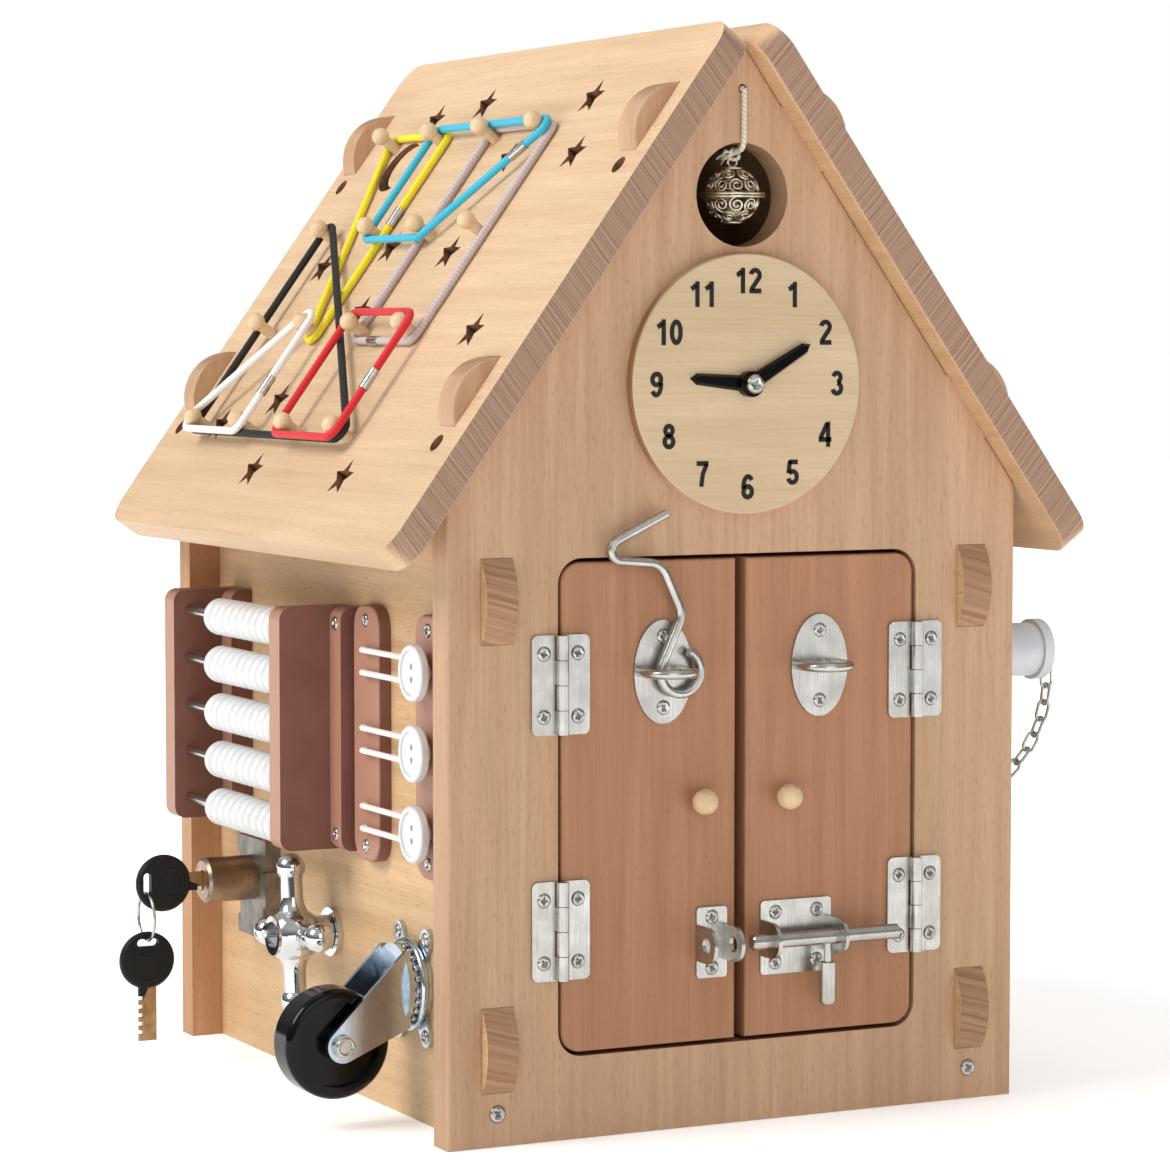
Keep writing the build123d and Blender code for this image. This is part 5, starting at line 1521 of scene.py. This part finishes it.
    def hang(self, shop: Workshop) -> None:
        """Make the string, its knot and the end that shows in the gable's hole.

        Args:
            shop: Makes the strings.
        """
        line, wrap, hairs = self.string_line(), self.knot(), self.fray()
        cord = shop.sweep("bell_cord", [line], self.string_mm / 2, COTTON)
        knot = shop.sweep("string_knot", wrap, self.knot_wire_mm, COTTON, sides=self.knot_sides)
        fray = shop.sweep("string_fray", hairs, self.fray_wire_mm, COTTON, sides=self.fray_sides)
        stub = shop.sweep("string_anchor", [self.anchor_mm], self.string_mm / 2, COTTON)
        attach(cord, "bell")
        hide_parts("bell_string")
        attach(knot, "bell")
        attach(fray, "bell")
        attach(stub, "house")


@dataclass
class Doors:
    """Door panels with their knobs, hinges and latches."""

    panels: tuple[str, ...] = ("left_door", "right_door")
    knobs: tuple[str, ...] = ("left_knob", "right_knob")
    steel: tuple[str, ...] = (
        "wall_hinge_leaves", "left_hinge_leaves", "right_hinge_leaves", "hinge_pins",
        "left_eye", "right_eye", "door_hook", "bolt_keeper", "bolt_guide", "bolt_rod",
    )

    def build(self, shop: Workshop) -> None:
        """Dress the doors.

        Args:
            shop: Dresses them.
        """
        shop.dress(DOOR_BEECH, *self.panels)
        shop.dress(TURNED_BEECH, *self.knobs)
        shop.dress(BRUSHED_STEEL, *self.steel)
        LOG.info("doors")


@dataclass
class Screws:
    """Cross-recessed countersunk screws, in one piece for each body."""

    # Shares of the head's radius.
    recess_reach: float = 0.56
    recess_width: float = 0.13
    recess_depth: float = 0.5
    recess_taper: float = 0.92
    dome: float = 0.28
    crown_reach: float = 0.74
    foot_reach: float = 0.8
    foot_depth: float = 0.4
    steps: int = 28
    small_mm: float = 5.8
    large_mm: float = 7.0
    pivot_mm: float = 7.6
    first_turn: float = 0.35
    turn_step: float = 0.9
    # Faces of the plates on the front, of the front board and of what hangs on the left wall.
    plate_face_mm: float = -142.2
    front_face_mm: float = -141.0
    pivot_face_mm: float = -152.2
    rail_face_mm: float = -116.5
    batten_face_mm: float = -120.7
    caster_face_mm: float = -113.0
    # Middles of the plates and the ways from there to their screws.
    hinge_heights_mm: Pair = (174.7, 80.9)
    hinge_rise_mm: float = 12.0
    wall_leaf_mm: float = 85.45
    door_leaf_mm: float = 71.05
    eye_mm: Pair = (34.5, 178.0)
    eye_rise_mm: float = 13.75
    floor_mm: Pair = (104.5, 12.7)
    bolt_height_mm: float = 72.0
    bolt_rise_mm: float = 9.9
    keeper_mm: float = -13.15
    guide_mm: float = 24.25
    guide_reach_mm: float = 9.25
    rails_mm: Pair = (-44.7, -104.7)
    rail_rise_mm: float = 45.0
    battens_mm: Pair = (-23.7, 95.6)
    batten_rise_mm: float = 42.5
    board_height_mm: float = 149.0
    caster_mm: Pair = (-80.4, 54.0)
    caster_reach_mm: Pair = (12.95, 19.0)
    clock_height_mm: float = 288.0

    def head(self) -> bpy.types.Object:
        """Make a head of radius one whose rim lies at the origin and whose recess opens along Z.

        Returns:
            The head's object.
        """
        work = bmesh.new()
        levels = ((1.0, 0.0), (self.crown_reach, self.dome), (self.foot_reach, -self.foot_depth))
        rim, crown, foot = (
            [work.verts.new((c * reach, s * reach, rise)) for c, s in compass(self.steps)]
            for reach, rise in levels
        )
        for i in range(self.steps):
            j = (i + 1) % self.steps
            work.faces.new((rim[i], rim[j], crown[j], crown[i]))
            work.faces.new((foot[i], foot[j], rim[j], rim[i]))
        work.faces.new(foot[::-1])
        a, b = self.recess_reach, self.recess_width
        outline = [
            (a, b), (b, b), (b, a), (-b, a), (-b, b), (-a, b),
            (-a, -b), (-b, -b), (-b, -a), (b, -a), (b, -b), (a, -b),
        ]
        taper, depth = self.recess_taper, self.dome - self.recess_depth
        mouth = [work.verts.new((x, y, self.dome)) for x, y in outline]
        floor = [work.verts.new((x * taper, y * taper, depth)) for x, y in outline]
        for i in range(len(outline)):
            j = (i + 1) % len(outline)
            work.faces.new((mouth[i], mouth[j], floor[j], floor[i]))
        work.faces.new(floor)
        edges = [
            work.edges.get((loop[i], loop[(i + 1) % len(loop)]))
            for loop in (crown, mouth)
            for i in range(len(loop))
        ]
        bmesh.ops.triangle_fill(work, use_beauty=True, use_dissolve=False, edges=edges)
        return close_mesh("screw_head", work)

    def spots(self) -> dict[str, list[Spot]]:
        """List the screws of each body.

        Returns:
            Spots by body.
        """
        front, left = OFF_FRONT, OFF_LEFT
        found: dict[str, list[Spot]] = {"house": [], "left_door": [], "right_door": []}

        def put(body: str, place: Point, axis: Point, width_mm: float) -> None:
            """Add a screw, its recess turned a little differently from the last.

            Args:
                body: Body that it is in.
                place: Place of its rim in millimetres.
                axis: Way that its head faces.
                width_mm: Width of its head.
            """
            turn = self.turn_step * len(found[body]) + self.first_turn
            found[body].append(Spot(place, axis, width_mm / 2 * MM, turn))

        small, plate = self.small_mm, self.plate_face_mm
        for side, door in ((-1, "left_door"), (1, "right_door")):
            for height in self.hinge_heights_mm:
                for rise in (-self.hinge_rise_mm, self.hinge_rise_mm):
                    put("house", (side * self.wall_leaf_mm, plate, height + rise), front, small)
                    put(door, (side * self.door_leaf_mm, plate, height + rise), front, small)
            across, height = self.eye_mm
            for rise in (-self.eye_rise_mm, self.eye_rise_mm):
                put(door, (side * across, plate, height + rise), front, small)
            across, height = self.floor_mm
            put("house", (side * across, self.front_face_mm, height), front, self.large_mm)
        for rise in (-self.bolt_rise_mm, self.bolt_rise_mm):
            height = self.bolt_height_mm + rise
            put("left_door", (self.keeper_mm, plate, height), front, small)
            for reach in (-self.guide_reach_mm, self.guide_reach_mm):
                put("right_door", (self.guide_mm + reach, plate, height), front, small)
        for face, places, reach in (
            (self.rail_face_mm, self.rails_mm, self.rail_rise_mm),
            (self.batten_face_mm, self.battens_mm, self.batten_rise_mm),
        ):
            for rise in (-reach, reach):
                for place in places:
                    put("house", (face, place, self.board_height_mm + rise), left, small)
        middle, height = self.caster_mm
        reach, lift = self.caster_reach_mm
        for across in (-reach, reach):
            for rise in (-lift, lift):
                put("house", (self.caster_face_mm, middle + across, height + rise), left, small)
        put("house", (0.0, self.pivot_face_mm, self.clock_height_mm), front, self.pivot_mm)
        return found

    def build(self, shop: Workshop) -> None:
        """Set the screws out on their bodies.

        Args:
            shop: Sets them out.
        """
        head = self.head()
        for body, spots in self.spots().items():
            piece = shop.set_out(f"screws_{body}", head, spots, BRIGHT_STEEL)
            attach(piece, body)
            LOG.info("screws of %s: %d", body, len(spots))
        bpy.data.objects.remove(head)


@dataclass
class Abacus:
    """End boards, rods and rows of turned white beads."""

    rows: int = 5
    row_pitch_mm: float = 20.0
    middle_mm: float = 149.0
    rod_x_mm: float = -135.8
    first_mm: float = -7.1
    beads: int = 10
    bead_pitch_mm: float = 7.3
    bead_mm: float = 7.2
    radius_mm: float = 7.8
    bore_mm: float = 2.2
    # Flat land round the bore and the depth of the bore's countersink.
    land_mm: float = 1.6
    countersink_mm: float = 0.3
    roundness: float = 2.15
    profile_steps: int = 16
    round_steps: int = 32
    turn_step: float = 0.4

    def bead(self) -> bpy.types.Object:
        """Turn one bead about Z, from its back at the origin.

        Returns:
            The bead's object.
        """
        half, power = self.bead_mm / 2, 2 / self.roundness
        land = self.bore_mm + self.land_mm
        profile = [(self.bore_mm * MM, self.countersink_mm * MM)]
        for step in range(self.profile_steps + 1):
            turn = -math.pi / 2 + math.pi * step / self.profile_steps
            rise = math.copysign(abs(math.sin(turn)) ** power, math.sin(turn))
            reach = abs(math.cos(turn)) ** power
            radius = land + (self.radius_mm - land) * reach
            profile.append((radius * MM, (half + half * rise) * MM))
        profile.append((self.bore_mm * MM, (self.bead_mm - self.countersink_mm) * MM))
        return lathe("bead", profile + profile[:1], self.round_steps)

    def build(self, shop: Workshop) -> None:
        """Dress the ends and rods and string the beads.

        Args:
            shop: Sets the beads out.
        """
        shop.dress(BROWN_PAINT, "abacus_ends")
        shop.dress(BRIGHT_STEEL, "abacus_rods")
        bead = self.bead()
        for row in range(self.rows):
            height = self.middle_mm + (row - (self.rows - 1) / 2) * self.row_pitch_mm
            spots = []
            for n in range(self.beads):
                place = (self.rod_x_mm, self.first_mm + n * self.bead_pitch_mm, height)
                spots.append(Spot(place, ALONG_Y, 1.0, self.turn_step * n))
            piece = shop.set_out(f"beads_{row + 1}", bead, spots, WHITE_PLASTIC)
            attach(piece, f"bead_row_{row + 1}")
            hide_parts(f"bead_row_{row + 1}")
            LOG.info("beads of row %d", row + 1)
        bpy.data.objects.remove(bead)


@dataclass
class ButtonBoard:
    """Rails with buttons and the elastic loops that go over them."""

    loop_rail_mm: float = -44.7
    button_rail_mm: float = -104.7
    wall_mm: float = -111.0
    rail_mm: float = 5.5
    bend_mm: float = 2.4
    spread_mm: float = 9.0
    wire_mm: float = 2.4
    # Gap between a loop's end in its hole and the wall.
    end_gap_mm: float = 0.3
    middle_mm: float = 147.0
    pitch_mm: float = 31.0
    steps: int = 8

    def loop(self, height_mm: float) -> list[Vector]:
        """Lay one loop from its hole, round a button's stem and back.

        Args:
            height_mm: Height of the button's middle.

        Returns:
            Points of the route in millimetres.
        """
        face = self.wall_mm - self.rail_mm
        half = self.spread_mm / 2
        top = height_mm + half
        lead = [Vector((self.wall_mm - self.end_gap_mm, self.loop_rail_mm, top))]
        for step in range(self.steps + 1):
            turn = math.pi / 2 * step / self.steps
            out = face - self.bend_mm * math.sin(turn)
            along = self.loop_rail_mm - self.bend_mm * (1 - math.cos(turn))
            lead.append(Vector((out, along, top)))
        back = [Vector((p.x, p.y, 2 * height_mm - p.z)) for p in reversed(lead)]
        round_stem = []
        for step in range(2 * self.steps + 1):
            turn = math.pi / 2 + math.pi * step / (2 * self.steps)
            along = self.button_rail_mm + half * math.cos(turn)
            up = height_mm + half * math.sin(turn)
            round_stem.append(Vector((face - self.bend_mm, along, up)))
        return lead + round_stem + back

    def build(self, shop: Workshop) -> None:
        """Dress the rails and buttons and make the loops.

        Args:
            shop: Makes the loops.
        """
        shop.dress(BROWN_PAINT, "button_rails")
        shop.dress(WHITE_PLASTIC, "buttons")
        routes = [self.loop(self.middle_mm + step * self.pitch_mm) for step in (-1, 0, 1)]
        loops = shop.sweep("button_loops", routes, self.wire_mm / 2, ELASTICS["band_white"])
        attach(loops, "house")
        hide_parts("elastic_loops")
        LOG.info("button loops")


@dataclass
class LockAndKeys:
    """Drawer lock with its key, key ring and spare key."""

    plate_mm: float = -118.1
    # Middle of each key's bow along its blade, and the bow's half length there.
    bow_mm: Pair = (-157.9, 12.1)
    spare_bow_mm: Pair = (44.35, 12.1)
    ring_mm: float = 6.0
    ring_shift_mm: float = 2.8
    ring_wire_mm: float = 0.4
    ring_sides: int = 8
    bow_face_mm: float = 1.6
    ring_steps: int = 40

    def bow_rings(
        self, shop: Workshop, node: str, body: str, axis: int, place_mm: float
    ) -> None:
        """Raise a plain ring on both faces of a key's bow.

        Args:
            shop: Makes the rings.
            node: Name of the key.
            body: Body that it moves with.
            axis: Number of the axis that its blade lies along.
            place_mm: Place of the rings' middle on that axis.
        """
        low, high = (Vector(corner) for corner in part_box(node))
        middle = (low + high) / 2 / MM
        middle[axis] = place_mm
        faces = [middle + Vector((0.0, side * self.bow_face_mm, 0.0)) for side in (-1, 1)]
        routes = [circle(face, self.ring_mm, self.ring_steps, Plane.FRONT) for face in faces]
        wire, sides = self.ring_wire_mm, self.ring_sides
        rings = shop.sweep(f"{node}_rings", routes, wire, BLACK_MATT, True, sides)
        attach(rings, body)
        LOG.info("rings of %s", node)

    def build(self, shop: Workshop) -> None:
        """Dress the lock and its keys, whose bows are plastic and whose blades are brass.

        Args:
            shop: Makes the rings on the keys.
        """
        held, held_half = self.bow_mm
        hung, hung_half = self.spare_bow_mm
        plate, held_end, hung_end = self.plate_mm, held + held_half, hung - hung_half
        shop.dress(BRIGHT_STEEL, "lock_bolt", "key_ring")
        shop.dress(BRASS, "lock_plug")
        shop.split("lock_case", LOCK_BRONZE, LOCK_STEEL, lambda face: face.center.x > plate * MM)
        shop.split("lock_key", BLACK_MATT, BRASS, lambda face: face.center.x > held_end * MM)
        shop.split("spare_key", BLACK_MATT, BRASS, lambda face: face.center.z < hung_end * MM)
        self.bow_rings(shop, "lock_key", "key", 0, held + self.ring_shift_mm)
        self.bow_rings(shop, "spare_key", "spare_key", 2, hung - self.ring_shift_mm)


@dataclass
class TapHandle:
    """Chrome cross handle on its stem."""

    nodes: tuple[str, ...] = ("cross_handle", "handle_stem")

    def build(self, shop: Workshop) -> None:
        """Dress the handle."""
        shop.dress(CHROME, *self.nodes)
        LOG.info("tap handle")


@dataclass
class Caster:
    """Plated swivel caster with a ball race and a black wheel."""

    middle_mm: Pair = (-80.4, 54.0)
    wall_mm: float = -111.0
    race_mm: float = 15.0
    race_reach_mm: float = 5.6
    ball_mm: float = 3.0
    ball_steps: tuple[int, int] = (8, 14)
    balls: int = 22
    ring_mm: float = 16.6
    ring_wire_mm: float = 1.7
    ring_reach_mm: float = 3.7
    axle_mm: Pair = (-147.0, 34.0)
    axle_half_mm: float = 14.5
    rivet_mm: float = 3.2
    rivet_wire_mm: float = 0.8
    ring_steps: int = 48

    def on_race(self, reach_mm: float, radius_mm: float, count: int) -> list[Vector]:
        """Find places round a circle about the swivel.

        Args:
            reach_mm: Way of the circle off the wall.
            radius_mm: Its radius.
            count: Number of places.

        Returns:
            The places in millimetres.
        """
        middle = (self.wall_mm - reach_mm, *self.middle_mm)
        return circle(middle, radius_mm, count, Plane.SIDE)

    def rings(self, shop: Workshop) -> None:
        """Roll the rim of the race and the two hollow rivet ends of the axle.

        Args:
            shop: Makes the rings.
        """
        rim = self.on_race(self.ring_reach_mm, self.ring_mm, self.ring_steps)
        race_rim = shop.sweep("race_rim", [rim], self.ring_wire_mm, ZINC, closed=True)
        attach(race_rim, "house")
        (out, up), across = self.axle_mm, self.middle_mm[0]
        middles = [(out, across + side * self.axle_half_mm, up) for side in (-1, 1)]
        ends = [circle(end, self.rivet_mm, self.ring_steps, Plane.FRONT) for end in middles]
        wire = self.rivet_wire_mm
        rivet_ends = shop.sweep("axle_rivet_ends", ends, wire, BRIGHT_STEEL, closed=True)
        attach(rivet_ends, "caster_fork")

    def build(self, shop: Workshop) -> None:
        """Dress the caster and fill its race with balls.

        Args:
            shop: Makes the balls and rings.
        """
        shop.dress(ZINC, "caster_plate", "caster_fork")
        shop.dress(BRIGHT_STEEL, "caster_axle")
        shop.dress(BLACK_GLOSS, "caster_wheel")
        high_steps, round_steps = self.ball_steps
        ball = lathe("race_ball", ball_profile(1.0, high_steps), round_steps)
        places = self.on_race(self.race_reach_mm, self.race_mm, self.balls)
        spots = [Spot(place, OFF_LEFT, self.ball_mm / 2 * MM) for place in places]
        race = shop.set_out("race_balls", ball, spots, BRIGHT_STEEL)
        bpy.data.objects.remove(ball)
        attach(race, "house")
        self.rings(shop)
        LOG.info("caster race")


@dataclass
class PlugAndChain:
    """White tube on the right wall with its plug and chain."""

    white: tuple[str, ...] = ("plug_tube", "basin_plug")

    def build(self, shop: Workshop) -> None:
        """Dress the tube, the plug and the chain.

        Args:
            shop: Dresses them.
        """
        # The tube and plug get a greyer white for the shade they stand in: painted shade.
        shop.dress(SHADED_TUBE_PLASTIC, *self.white)
        shop.dress(BRIGHT_STEEL, "plug_chain")
        LOG.info("plug and chain")


@dataclass
class Studio:
    """Pale floor, soft lights and the camera at the photograph's angle."""

    camera_mm: Point = (-723.34, -1451.56, 309.26)
    yaw_deg: float = 26.584
    pitch_deg: float = -3.788
    focal_px: float = 3874.8
    frame_px: float = 1170.0
    sensor_mm: float = 36.0
    clip_m: Pair = (0.05, 50.0)
    sky_light: float = 0.52
    horizon_light: float = 0.07
    sky_rise: float = 0.55
    floor_half_m: float = 6.0
    floor_squares: int = 8
    aim_m: Point = (0.0, 0.0, 0.2)
    # Name, place in metres, side of the panel in metres and power in watts of each light.
    lamps: tuple[tuple[str, Point, float, float], ...] = (
        ("key_light", (-2.0, 0.1, 1.7), 1.2, 40.0),
        ("fill_light", (-0.3, -2.4, 1.1), 1.6, 10.0),
        ("top_light", (0.3, 0.3, 2.3), 1.8, 9.0),
    )

    def lamp(self, name: str, place_m: Point, size_m: float, power: float) -> None:
        """Hang a square soft light that points at the house.

        Args:
            name: Name of the light.
            place_m: Where it hangs.
            size_m: Side of its panel.
            power: Its power in watts.
        """
        data = bpy.data.lights.new(name, "AREA")
        data.size = size_m
        data.energy = power
        lamp = link_object(name, data)
        lamp.location = place_m
        way = Vector(self.aim_m) - Vector(place_m)
        lamp.rotation_euler = way.to_track_quat("-Z", "Y").to_euler()

    def floor(self) -> None:
        """Roll out the white backdrop paper."""
        work = bmesh.new()
        squares, half = self.floor_squares, self.floor_half_m
        bmesh.ops.create_grid(work, x_segments=squares, y_segments=squares, size=half)
        mesh = bpy.data.meshes.new("floor")
        work.to_mesh(mesh)
        work.free()
        floor = link_object("floor", mesh)
        mesh.materials.append(BACKDROP.build())

    def sky(self) -> None:
        """Light the room from above, with a dark horizon for the metals and a white background."""
        world = bpy.data.worlds.new("studio")
        bpy.context.scene.world = world
        world.use_nodes = True
        world.node_tree.nodes.clear()
        add = partial(add_node, world.node_tree)
        seen = add("ShaderNodeLightPath").outputs["Is Camera Ray"]
        way = add("ShaderNodeTexCoord").outputs["Generated"]
        rise = add("ShaderNodeSeparateXYZ", [way]).outputs[2]
        lights = (self.horizon_light, self.sky_light)
        room = add("ShaderNodeMapRange", [rise, 0.0, self.sky_rise, *lights])
        glow = add("ShaderNodeMath", [room, seen], operation="MAXIMUM")
        sky = add("ShaderNodeBackground", [WHITE, glow])
        add("ShaderNodeOutputWorld", [sky])

    def camera(self) -> None:
        """Set the camera where the photograph was taken."""
        data = bpy.data.cameras.new("camera")
        data.sensor_width = self.sensor_mm
        data.lens = self.focal_px / self.frame_px * self.sensor_mm
        data.clip_start, data.clip_end = self.clip_m
        camera = link_object("camera", data)
        yaw, pitch = math.radians(self.yaw_deg), math.radians(self.pitch_deg)
        level = math.cos(pitch)
        ahead = Vector((math.sin(yaw) * level, math.cos(yaw) * level, math.sin(pitch)))
        camera.location = Vector(self.camera_mm) * MM
        camera.rotation_euler = ahead.to_track_quat("-Z", "Y").to_euler()
        bpy.context.scene.camera = camera

    def build(self) -> None:
        """Set up the floor, the lights and the camera."""
        self.floor()
        self.sky()
        for name, place, size, power in self.lamps:
            self.lamp(name, place, size, power)
        bpy.context.scene.view_settings.view_transform = "Standard"
        self.camera()
        LOG.info("studio")


def main() -> None:
    """Load the frame and build every sub-assembly."""
    logging.basicConfig(level=logging.INFO, format="%(name)s: %(message)s")
    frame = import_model()
    shop = Workshop(frame)
    Studio().build()
    for assembly in (
        JingleBell(), Carcass(), Geoboard(), ClockDial(), Doors(), Screws(),
        Abacus(), ButtonBoard(), LockAndKeys(), TapHandle(), Caster(), PlugAndChain(),
    ):
        assembly.build(shop)
    LOG.info("size written")


if __name__ == "__main__":
    main()
